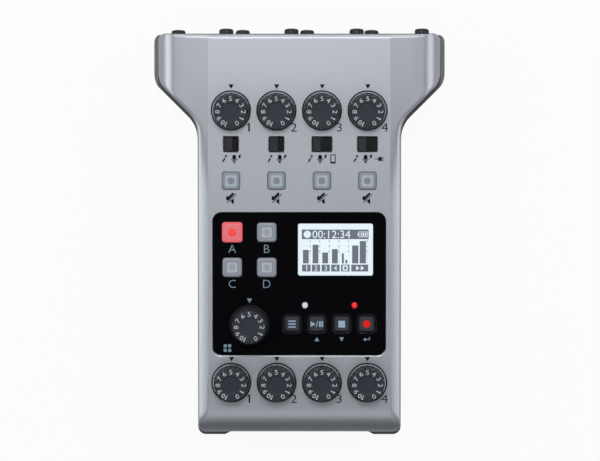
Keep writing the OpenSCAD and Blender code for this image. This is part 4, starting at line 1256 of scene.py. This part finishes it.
def key_shape(width, marks=(), corner=KEY_CORNER, soft=KEY_SOFT, collar=0.0, edge_tone=0.0):
    """A key cap with softened edges, its flange and plunger, and tones for the marks on its top."""

    def square(size, height, radius=corner):
        return level(rounded_rectangle(size, size, min(radius, size * 0.49), 6), height)

    low, high = KEY_FLANGE
    flange = width + 2 * (KEY_GAP + KEY_LIP + collar)
    layers = [square(flange, low), square(flange, high)]
    if collar:
        rim = width + 2 * collar
        round_rim = corner + collar
        layers += [square(rim, high, round_rim), square(rim, COLLAR_TOP - 0.1, round_rim),
                   square(rim - 0.2, COLLAR_TOP, round_rim)]
    finishes = [1] * len(layers)
    layers.append(square(width, COLLAR_TOP if collar else high))
    tones = [0.0] * len(layers)
    for share in (0.0, 0.25, 0.5, 0.75, 1.0):
        angle = math.pi / 2 * share
        inset = soft * (1 - math.cos(angle))
        layers.append(square(width - 2 * inset, KEY_PROUD - soft * (1 - math.sin(angle))))
        tones.append(edge_tone * math.sin(math.pi * share))
    for share, tone, radius in marks:
        layers.append(square(width * share, KEY_PROUD, radius))
        tones.append(tone)
    finishes += [0] * (len(layers) - len(finishes))
    shape = Shape().loft(layers, finishes, tones)
    plunger = circle(PLUNGER_RADIUS, 24)
    shape.loft([level(plunger, PLUNGER_LOW), level(plunger, low)], [1, 1])
    return shape


class RECORDER_OT_keys(bpy.types.Operator):
    """Moulds the mute keys, sound pads and transport keys"""

    bl_idname = "recorder.keys"
    bl_label = "Keys and pads"

    def execute(self, context):
        mute = key_shape(MUTE_WIDTH, MUTE_MARKS)
        for i, x in enumerate(COLUMNS, 1):
            piece(f"mute_key_{i}_cap", mute, ["clear_key", "clear_key"], f"mute_{i}",
                  (f"mute_key_{i}",), PANEL @ spot(x, MUTE_ROW))
        unlit = key_shape(PAD_WIDTH, PAD_MARKS, PAD_CORNER, PAD_SOFT)
        lit = key_shape(PAD_WIDTH, LIT_MARKS, PAD_CORNER, PAD_SOFT, edge_tone=0.55)
        for i, place in enumerate(PADS, 1):
            shape, look = (lit, "pad_red") if i == 1 else (unlit, "pad_grey")
            piece(f"pad_key_{i}_cap", shape, [look, look], f"pad_{i}", (f"pad_key_{i}",),
                  PANEL @ spot(*place))
        transport = key_shape(TRANSPORT_WIDTH, collar=TRANSPORT_COLLAR)
        for body, place in zip(("menu", "play", "stop", "record"), TRANSPORT):
            piece(body + "_key_cap", transport, ["transport_slate", "transport_ring"], body,
                  (body + "_key",), PANEL @ spot(*place))
        return {"FINISHED"}


# Sliders

class RECORDER_OT_sliders(bpy.types.Operator):
    """Moulds the four input sliders and the power slider"""

    bl_idname = "recorder.sliders"
    bl_label = "Sliders"

    # Shrink and height of the cap's layers, from its foot to the hollow in its top
    CROWN = ((0.0, UNDER_ROOF), (0.0, -0.9), (0.14, -0.62), (0.45, -0.44), (0.8, -0.4), (1.8, -0.46))
    STEM_LOW = -7.4
    GRIP_RIBS = 4
    GRIP_PITCH = 0.9

    def execute(self, context):
        # The third finish paints a black shadow strip on the plate beside the cap
        looks = ["slider_black", "slider_plate", "transport_ring"]
        for i, (x, width) in enumerate(zip(COLUMNS, SWITCH_WIDTHS), 1):
            travel = width - SLIDER_WIDTH - SLIDER_PLAY
            piece(f"input_slider_{i}_cap", self.cap(width, travel), looks, f"input_{i}",
                  (f"input_slider_{i}",), PANEL @ spot(x - travel / 2, SWITCH_ROW))
        self.power_slider()
        return {"FINISHED"}

    def cap(self, width, travel):
        """A rounded cap on a plate that covers the opening, a black strip painted beside it as its shadow, and its
        stem.
        """
        low, high = KEY_FLANGE
        long = SWITCH_LENGTH - SLIDER_PLAY
        plate = rounded_rectangle(width + travel + SLIDER_PLAY, SWITCH_LENGTH + 2.4, 0.6, 4)
        layers = [level(plate, low), level(plate, high)]
        for shrink, height in self.CROWN:
            layers.append(level(rounded_rectangle(SLIDER_WIDTH - shrink, long - shrink, 0.4, 4), height))
        shape = Shape().loft(layers, [1, 1] + [0] * len(self.CROWN))
        side = SLIDER_WIDTH / 2
        # Painted shadow: a thin black strip on the plate along the cap's side, where the cap's shade falls
        shape.plate(box_outline(side, side + 0.55, -long / 2, long / 2), high, high + 0.04, 2)
        stem = rounded_rectangle(1.6, 1.6, 0.2, 3)
        shape.loft([level(stem, self.STEM_LOW), level(stem, low)], [1, 1])
        return shape

    def power_slider(self):
        """The slider in the right side, kept flush with it, and its grip ribs."""
        cap = softened("power_slider", 0.25, "slider_black")
        for vertex in cap.data.vertices:
            vertex.co.x = min(vertex.co.x, POWER_REACH * MM)
        low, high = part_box("power_slider")
        middle = (low + high) / 2 / MM
        ribs = grown(TREES["ribs"], {
            "Count": self.GRIP_RIBS, "Step": (0.0, self.GRIP_PITCH, 0.0), "Bar Size": (2.9, 0.36, 0.36),
            "Material": FINISH["slider_black"]})
        start = middle.y - self.GRIP_PITCH * (self.GRIP_RIBS - 1) / 2
        place = WORLD @ Matrix.Translation((POWER_REACH, start, middle.z))
        piece("power_slider_grip", shape_from(ribs), ["slider_black"], "power",
              place=place @ Matrix.Rotation(math.pi / 2, 4, "Y"))


# Sockets and insides

class RECORDER_OT_sockets(bpy.types.Operator):
    """Finishes the microphone, phones, USB and card sockets and the rear screws"""

    bl_idname = "recorder.sockets"
    bl_label = "Sockets"

    # Pitch and height of the microphone sockets, how far their screws stand from them, and the screws' sizes
    PITCH = 24.9
    LIFT = 19.5
    SCREW_OUT = 9.5
    SCREW_UP = 12.0
    HEAD_RADIUS = 2.75
    HEAD_RISE = 2.1
    HEAD_ROUND = 0.95
    SHANK_RADIUS = 1.4
    SHANK_LENGTH = 4.4

    def execute(self, context):
        softened("xlr_shells", 0.3, "socket_black")
        softened("xlr_inserts", 0.2, "switch_black")
        softened("xlr_contacts", 0.06, "contact_gold")
        softened("jack_sockets", 0.2, "socket_black")
        softened("usb_sockets", 0.06, "socket_steel")
        softened("card_socket", 0.08, "socket_steel")
        self.rear_screws()
        return {"FINISHED"}

    def rear_screws(self):
        """Eight screws, each turned a little differently."""
        points = []
        for i in range(4):
            for side in (-1, 1):
                points.append(((i - 1.5) * self.PITCH + side * self.SCREW_OUT, 0.0,
                               self.LIFT + side * self.SCREW_UP))
        screw = self.screw()
        heads = grown(TREES["screws"], {"Screw": screw, "Seed": 4, "Material": FINISH["screw_black"]}, points)
        bpy.data.objects.remove(screw)
        low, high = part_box("xlr_screws")
        seat = high.y / MM - self.HEAD_RISE
        piece("rear_screws", shape_from(heads), ["screw_black"], "case", ("xlr_screws",),
              WORLD @ Matrix.Translation((0.0, seat, 0.0)))

    def screw(self):
        """A shank with a black pan head that points to +Y and has a cross recess."""
        shank = circle(self.SHANK_RADIUS, 24)
        layers = [level(shank, -self.SHANK_LENGTH), level(shank, 0.0)]
        layers.append(level(circle(self.HEAD_RADIUS, 24), 0.0))
        for i in range(6):
            angle = math.pi / 2 * i / 5
            radius = self.HEAD_RADIUS - self.HEAD_ROUND * (1 - math.cos(angle))
            layers.append(level(circle(radius, 24),
                                self.HEAD_RISE - 0.15 - self.HEAD_ROUND * (1 - math.sin(angle))))
        layers.append(level(circle(0.8, 24), self.HEAD_RISE))
        screw = link("screw", mesh_of("screw", Shape().loft(layers), ["screw_black"], Matrix()))
        for wide, long in ((0.55, 3.0), (3.0, 0.55)):
            groove = Shape().plate(box_outline(-wide / 2, wide / 2, -long / 2, long / 2), 1.0, 3.0)
            screw = carve(screw, groove, Matrix())
        screw.data.transform(Matrix.Rotation(-math.pi / 2, 4, "X"))
        return screw


class RECORDER_OT_insides(bpy.types.Operator):
    """Gives the boards, switches, cells, contacts, shafts and screws inside their finishes"""

    bl_idname = "recorder.insides"
    bl_label = "Insides"

    def execute(self, context):
        looks = {
            "control_board": "board_green", "main_board": "board_green", "input_board": "board_green",
            "pot_bodies": "component_grey", "switch_bodies": "switch_black", "key_switches": "switch_black",
            "battery_cells": "cell_can", "battery_contacts": "screw_steel", "case_screws": "screw_steel",
            "pad_shaft": "shaft_metal",
        }
        for i in range(1, 5):
            looks[f"gain_shaft_{i}"] = "shaft_metal"
            looks[f"phones_shaft_{i}"] = "shaft_metal"
        for node, look in looks.items():
            thing = frame["nodes"][node]
            thing.data.materials.clear()
            thing.data.materials.append(FINISH[look])
        return {"FINISHED"}


# Prints

def hand_microphone():
    """Outlines of a slanted hand microphone."""
    return [bar((-0.85, -1.24), (0.12, 0.38), 0.62), moved(circle(0.48, 16), 0.5, 1.2)]


def stand_microphone():
    """Outlines of a microphone in its holder, with the bolt of a powered one."""
    bolt = [(1.95, 1.75), (1.35, 0.9), (1.85, 0.85), (1.42, 0.0), (2.75, 1.02), (2.25, 1.07), (2.68, 1.75)]
    head = moved(rounded_rectangle(1.42, 1.95, 0.7, 6), 0.0, 0.75)
    holder = moved(arc_band(1.02, 0.32, 195, 345), 0.0, 0.42)
    return [head, holder, bar((0.0, -0.6), (0.0, -1.25), 0.5), bar((-0.5, -1.25), (0.5, -1.25), 0.3), bolt]


def phone_outline():
    """Strokes of a plain hand-held phone."""
    return [bar((-0.75, -1.4), (-0.75, 1.4), 0.3), bar((0.75, -1.4), (0.75, 1.4), 0.3),
            bar((-0.9, 1.4), (0.9, 1.4), 0.3), bar((-0.9, -1.25), (0.9, -1.25), 0.6)]


def plug_outline():
    """A plain cable plug lying on its side."""
    return [box_outline(-0.6, 0.75, -0.75, 0.75), bar((0.75, 0.4), (1.6, 0.4), 0.28),
            bar((0.75, -0.4), (1.6, -0.4), 0.28), bar((-0.6, 0.0), (-1.9, 0.0), 0.3)]


def crossed_speaker():
    """A loudspeaker with a stroke across it."""
    left = [(-1.85, 0.9), (-0.78, 0.9), (0.55, 2.2), (1.08, 2.2), (1.08, 1.42), (-0.95, -0.67),
            (-1.85, -0.67)]
    right = [(1.08, 0.1), (-0.3, -0.98), (0.74, -2.1), (1.08, -2.1)]
    return [left, right, bar((-1.55, -1.62), (1.98, 1.72), 0.32)]


def marker():
    """The small pointer behind each knob."""
    return [[(-1.0, 0.85), (1.0, 0.85), (0.0, -0.85)]]


class RECORDER_OT_prints(bpy.types.Operator):
    """Prints the pointers, numbers, letters and symbols on the top, window and keys"""

    bl_idname = "recorder.prints"
    bl_label = "Prints"

    def execute(self, context):
        self.panel_print()
        self.window_print()
        self.key_print()
        return {"FINISHED"}

    def panel_print(self):
        """Dark print on the silver."""
        shape = Shape()
        for i, x in enumerate(COLUMNS):
            for pointer_row, number_row in zip(POINTER_ROWS, NUMBER_ROWS):
                stamp(shape, marker(), x + 0.1, pointer_row)
                write(shape, str(i + 1), NUMBER_HEIGHT, x + 6.6, number_row, weight=THIN,
                      stretch=NUMBER_STRETCH)
            stamp(shape, crossed_speaker(), x, SPEAKER_ROW)
            left = 0.0 if i < 2 else -1.95
            stamp(shape, hand_microphone(), x + left - 2.4, SYMBOL_ROW, scale=0.9)
            stamp(shape, stand_microphone(), x + left + 1.25, SYMBOL_ROW + 0.1)
        stamp(shape, phone_outline(), COLUMNS[2] + 4.2, SYMBOL_ROW, scale=1.12)
        stamp(shape, plug_outline(), COLUMNS[3] + 4.75, SYMBOL_ROW)
        piece("panel_print", shape, ["ink_dark"], "case", weighted=False)

    def window_print(self):
        """Slate print and thin frames around the transport keys, on the black window."""
        shape = Shape()
        for letter, (x, row) in zip("ABCD", PADS):
            write(shape, letter, LETTER_HEIGHT, x, row + 6.35, WINDOW_TOP, weight=LETTER_THIN)
        stamp(shape, marker(), PAD_KNOB[0], PAD_POINTER_ROW, WINDOW_TOP)
        tile = rounded_rectangle(1.2, 1.2, 0.2, 3)
        tiles = [moved(tile, dx, dy) for dx in (-0.85, 0.85) for dy in (-0.85, 0.85)]
        stamp(shape, tiles, *PAD_SYMBOL, WINDOW_TOP)
        menu, play, stop, record = TRANSPORT
        stamp(shape, [[(-0.9, -0.75), (0.9, -0.75), (0.0, 0.85)]], play[0], ARROW_ROW, WINDOW_TOP)
        stamp(shape, [[(-0.9, 0.75), (0.9, 0.75), (0.0, -0.85)]], stop[0], ARROW_ROW, WINDOW_TOP)
        arrow = [[(-1.3, 0.0), (-0.4, 0.75), (-0.4, -0.75)], bar((-0.5, 0.0), (1.1, 0.0), 0.35),
                 bar((1.1, -0.17), (1.1, 0.9), 0.35)]
        stamp(shape, arrow, record[0], ARROW_ROW + 0.1, WINDOW_TOP)
        piece("window_print", shape, ["ink_slate"], "case", weighted=False)
        frames = Shape()
        for place in TRANSPORT:
            self.key_frame(frames, *place)
        piece("key_frames", frames, ["ink_line"], "case", weighted=False)

    def key_frame(self, shape, x, row):
        """A thin line around the opening of a transport key."""
        outer_size = TRANSPORT_HOLE + 2 * 0.16
        outer = moved(rounded_rectangle(outer_size, outer_size, 1.9), x, -row)
        inner = moved(rounded_rectangle(TRANSPORT_HOLE, TRANSPORT_HOLE, 1.75), x, -row)
        low, high = WINDOW_TOP + INK_LOW, WINDOW_TOP + INK_HIGH
        layers = ((inner, low), (outer, low), (outer, high), (inner, high))
        rings = [shape.ring(level(outline, height)) for outline, height in layers]
        for first, second in zip(rings, rings[1:] + rings[:1]):
            shape.bridge(first, second)

    def key_print(self):
        """Symbols on the transport keys, each moving with its key."""
        symbols = {
            "menu": [bar((-1.4, y), (1.4, y), 0.56) for y in (-1.12, 0.0, 1.12)],
            "play": [[(-2.4, -1.1), (-2.4, 1.1), (-0.55, 0.0)], bar((-0.3, -1.15), (0.35, 1.15), 0.3),
                     bar((1.15, -1.1), (1.15, 1.1), 0.6), bar((2.05, -1.1), (2.05, 1.1), 0.6)],
            "stop": [box_outline(-1.3, 1.3, -1.3, 1.3)],
            "record": [circle(1.45, 28)],
        }
        for (body, outlines), place in zip(symbols.items(), TRANSPORT):
            shape = Shape()
            stamp(shape, outlines, *place, KEY_PROUD)
            ink = "ink_red" if body == "record" else "ink_key"
            piece(body + "_key_print", shape, [ink], body, weighted=False)


class RECORDER_OT_screen(bpy.types.Operator):
    """Draws the level meters, clock and labels on the display"""

    bl_idname = "recorder.screen"
    bl_label = "Screen"

    # Places on the glass as on the top: bars as x, width and upper row, boxes as left and right
    BASE = 87.5
    BARS = ((1.42, 2.24, 82.3), (5.11, 2.24, 80.3), (8.8, 2.24, 83.3), (12.49, 2.24, 82.0),
            (16.26, 0.8, 83.6), (17.6, 0.8, 86.1), (20.2, 2.4, 80.6), (23.1, 2.4, 78.9))
    BOXES = ((1.08, 4.35), (4.81, 8.0), (8.57, 11.7), (12.19, 15.42), (15.96, 19.23), (19.88, 26.35))
    BOX_ROWS = (90.6, 87.95)
    LABEL_ROW = 89.3
    SQUARE_ROW = 89.28
    HEADING = (1.0, 26.5, -78.2, -74.5)
    CLOCK_ROW = 76.35
    SCALES = (4.3, 7.95, 11.6, 15.3, 19.0, 26.0)

    def execute(self, context):
        dark = Shape()
        outlines = [box_outline(x, x + width, -self.BASE, -top) for x, width, top in self.BARS]
        front, rear = self.BOX_ROWS
        outlines += [box_outline(left, right, -front, -rear) for left, right in self.BOXES]
        outlines.append(box_outline(*self.HEADING))
        stamp(dark, outlines, lift=GLASS_TOP)
        for x in self.SCALES:
            self.ticks(dark, 15, 0.58, (0.16, 0.2), x, 87.2)
            self.ticks(dark, 3, 2.0, (0.5, 0.3), x - 0.2, 82.9)
        piece("screen_meters", dark, ["screen_ink"], "case", weighted=False)
        self.light_print(GLASS_TOP + INK_HIGH)
        return {"FINISHED"}

    def ticks(self, shape, count, step, size, x, row):
        """A column of marks beside a level meter, from its foot at a row."""
        marks = grown(TREES["ticks"], {
            "Count": count, "Step": (0.0, step, 0.0), "Bar Size": (*size, INK_HIGH - INK_LOW),
            "Material": FINISH["screen_ink"]})
        shape.join(shape_from(marks), spot(x, row, GLASS_TOP + (INK_LOW + INK_HIGH) / 2))

    def light_print(self, lift):
        """Pale clock, lamp, battery and labels on the dark bars."""
        pale = Shape()
        stamp(pale, [circle(1.4, 24)], 3.1, self.CLOCK_ROW, lift)
        write(pale, "00:12:34", 3.0, 12.3, self.CLOCK_ROW, lift)
        battery = [bar((-1.6, 0.95), (1.7, 0.95), 0.24), bar((-1.6, -0.95), (1.7, -0.95), 0.24),
                   bar((1.6, 1.05), (1.6, -1.05), 0.24), bar((-1.6, 1.05), (-1.6, -1.05), 0.24),
                   bar((-1.9, 0.45), (-1.9, -0.45), 0.4)]
        battery += [box_outline(x, x + 0.5, -0.6, 0.6) for x in (-0.9, -0.1, 0.7)]
        stamp(pale, battery, 24.4, self.CLOCK_ROW, lift)
        middles = [(left + right) / 2 for left, right in self.BOXES]
        for number, x in enumerate(middles[:4], 1):
            write(pale, str(number), 1.9, x, self.LABEL_ROW, lift)
        stamp(pale, [rounded_rectangle(2.0, 2.0, 0.3, 3)], middles[4], self.SQUARE_ROW, lift)
        dot = Shape()
        stamp(dot, [circle(0.55, 16)], middles[4], self.SQUARE_ROW, lift + INK_HIGH)
        piece("screen_dot", dot, ["screen_ink"], "case", weighted=False)
        forward = [[(dx, -0.9), (dx, 0.9), (dx + 1.3, 0.0)] for dx in (-1.4, 0.4)]
        stamp(pale, forward, middles[5], self.LABEL_ROW, lift)
        piece("screen_labels", pale, ["screen_glow"], "case", weighted=False)


# Stage

LIGHT_AIM = Vector((0.0, 0.0, 0.03))


def area_light(name, place, size, power):
    """A soft rectangular light turned towards the object."""
    lamp = bpy.data.lights.new(name, "AREA")
    lamp.shape = "RECTANGLE"
    lamp.size, lamp.size_y = size
    lamp.energy = power
    thing = link(name, lamp)
    thing.location = place
    thing.rotation_euler = (LIGHT_AIM - Vector(place)).to_track_quat("-Z", "Y").to_euler()


def floor_material(share):
    """Pale floor: white to the camera, less so in reflections, with part of the object's shadow kept."""
    material = bpy.data.materials.new("studio_floor")
    material.use_nodes = True
    tree = material.node_tree
    shader = tree.nodes["Principled BSDF"]
    shader.inputs["Roughness"].default_value = 0.9
    shader.inputs["Specular IOR Level"].default_value = 0.1
    speck = tree.nodes.new("ShaderNodeTexNoise")
    speck.inputs["Scale"].default_value = 60.0
    ramp = tree.nodes.new("ShaderNodeMapRange")
    ramp.inputs["To Min"].default_value = 0.6
    ramp.inputs["To Max"].default_value = 0.64
    where = tree.nodes.new("ShaderNodeTexCoord")
    tree.links.new(where.outputs["Object"], speck.inputs["Vector"])
    tree.links.new(speck.outputs["Fac"], ramp.inputs["Value"])
    tree.links.new(ramp.outputs["Result"], shader.inputs["Base Color"])
    white = tree.nodes.new("ShaderNodeEmission")
    path = tree.nodes.new("ShaderNodeLightPath")
    glossy = math_node(tree, "MULTIPLY", path.outputs["Is Glossy Ray"], 0.12)
    seen = math_node(tree, "MAXIMUM", path.outputs["Is Camera Ray"],
                     math_node(tree, "MAXIMUM", glossy, path.outputs["Is Transmission Ray"]))
    blend = tree.nodes.new("ShaderNodeMixShader")
    tree.links.new(math_node(tree, "MULTIPLY", seen, share), blend.inputs["Fac"])
    tree.links.new(shader.outputs[0], blend.inputs[1])
    tree.links.new(white.outputs[0], blend.inputs[2])
    tree.links.new(blend.outputs[0], tree.nodes["Material Output"].inputs["Surface"])
    return material


class RECORDER_OT_stage(bpy.types.Operator):
    """Sets up the floor, lights, sky and camera"""

    bl_idname = "recorder.stage"
    bl_label = "Stage"

    # In metres: the floor lies just under the feet, and the camera stands at its offset from what it looks at
    FLOOR_REACH = 3.0
    FLOOR_LEVEL = -0.0001
    SIDE_PLACE = (0.71, 0.05, 0.46)
    SIDE_SIZE = (0.8, 0.6)
    LEFT_SHARE = 1.05
    RIGHT_SHARE = 0.88
    CAMERA_AIM = Vector((0.0003, 0.0008, 0.034))
    CAMERA_OFFSET = Vector((0.008, 0.037, 1.766))
    CAMERA_LENS = 277.6

    def execute(self, context):
        scene = context.scene
        scene.view_settings.view_transform = "Standard"
        self.floor(scene.recorder_stage)
        self.lights(scene.recorder_stage)
        world = bpy.data.worlds.new("studio_sky")
        scene.world = world
        world.use_nodes = True
        sky = world.node_tree.nodes["Background"]
        sky.inputs["Color"].default_value = (0.95, 0.97, 1.0, 1.0)
        sky.inputs["Strength"].default_value = scene.recorder_stage.sky
        self.camera(scene)
        return {"FINISHED"}

    def floor(self, stage):
        """A wide square floor."""
        mesh = bpy.data.meshes.new("floor")
        corners = box_outline(-self.FLOOR_REACH, self.FLOOR_REACH, -self.FLOOR_REACH, self.FLOOR_REACH)
        mesh.from_pydata(level(corners, self.FLOOR_LEVEL), [], [(0, 1, 2, 3)])
        mesh.materials.append(floor_material(stage.backdrop))
        link("floor", mesh)

    def lights(self, stage):
        """Soft lights above, at both sides, behind and before the object."""
        x, y, z = self.SIDE_PLACE
        area_light("key_light", (-0.02, 0.24, 1.0), (0.3, 0.24), stage.key_power)
        area_light("left_light", (-x, y, z), self.SIDE_SIZE, stage.side_power * self.LEFT_SHARE)
        area_light("right_light", (x, y, z), self.SIDE_SIZE, stage.side_power * self.RIGHT_SHARE)
        area_light("rear_light", (0.0, 0.75, 0.42), (1.2, 0.6), stage.rear_power)
        area_light("front_light", (0.0, -0.56, 0.86), (0.7, 0.5), stage.front_power)

    def camera(self, scene):
        """From above, a little behind and to the right of the middle, through a long lens."""
        lens = bpy.data.cameras.new("camera")
        lens.sensor_width = 36.0
        lens.lens = self.CAMERA_LENS
        lens.clip_start = 0.05
        thing = link("camera", lens)
        offset = self.CAMERA_OFFSET
        thing.location = self.CAMERA_AIM + offset
        thing.rotation_euler = (-math.atan2(offset.y, offset.z), math.atan2(offset.x, offset.z), 0.0)
        scene.camera = thing


class RECORDER_PT_panel(bpy.types.Panel):
    """Lists the recorder's settings and the operators that build it"""

    bl_idname = "RECORDER_PT_panel"
    bl_label = "Podcast Recorder"
    bl_space_type = "VIEW_3D"
    bl_region_type = "UI"
    bl_category = "Recorder"

    def draw(self, context):
        for group in ("recorder_colours", "recorder_sizes", "recorder_stage"):
            settings = getattr(context.scene, group)
            for label in settings.bl_rna.properties.keys():
                if label not in ("rna_type", "name"):
                    self.layout.prop(settings, label)
        for operator in OPERATORS:
            self.layout.operator(operator.bl_idname)


GROUPS = (RecorderColours, RecorderSizes, RecorderStage)
OPERATORS = (
    RECORDER_OT_upper_case, RECORDER_OT_lower_case, RECORDER_OT_grips, RECORDER_OT_window, RECORDER_OT_knobs,
    RECORDER_OT_keys, RECORDER_OT_sliders, RECORDER_OT_sockets, RECORDER_OT_insides, RECORDER_OT_prints,
    RECORDER_OT_screen, RECORDER_OT_stage)


def register():
    """Adds the classes and the settings to Blender."""
    for group in (*GROUPS, *OPERATORS, RECORDER_PT_panel):
        bpy.utils.register_class(group)
    bpy.types.Scene.recorder_colours = bpy.props.PointerProperty(type=RecorderColours)
    bpy.types.Scene.recorder_sizes = bpy.props.PointerProperty(type=RecorderSizes)
    bpy.types.Scene.recorder_stage = bpy.props.PointerProperty(type=RecorderStage)


def unregister():
    """Takes them out again."""
    for label in ("recorder_colours", "recorder_sizes", "recorder_stage"):
        delattr(bpy.types.Scene, label)
    for group in (RECORDER_PT_panel, *reversed(OPERATORS), *reversed(GROUPS)):
        bpy.utils.unregister_class(group)


def main():
    """Builds the recorder and its stage in order."""
    register()
    TREES.update(grain=grain_group(), barrel=fluted_barrel_tree(), ribs=bar_row_tree("Grip Ribs", True),
                 ticks=bar_row_tree("Tick Row", False), screws=screw_set_tree())
    moulded_finishes()
    print_finishes()
    inside_finishes()
    toned_finishes()
    bpy.ops.recorder.upper_case()
    bpy.ops.recorder.lower_case()
    bpy.ops.recorder.grips()
    bpy.ops.recorder.window()
    bpy.ops.recorder.knobs()
    bpy.ops.recorder.keys()
    bpy.ops.recorder.sliders()
    bpy.ops.recorder.sockets()
    bpy.ops.recorder.insides()
    bpy.ops.recorder.prints()
    bpy.ops.recorder.screen()
    bpy.ops.recorder.stage()


if __name__ == "__main__":
    main()
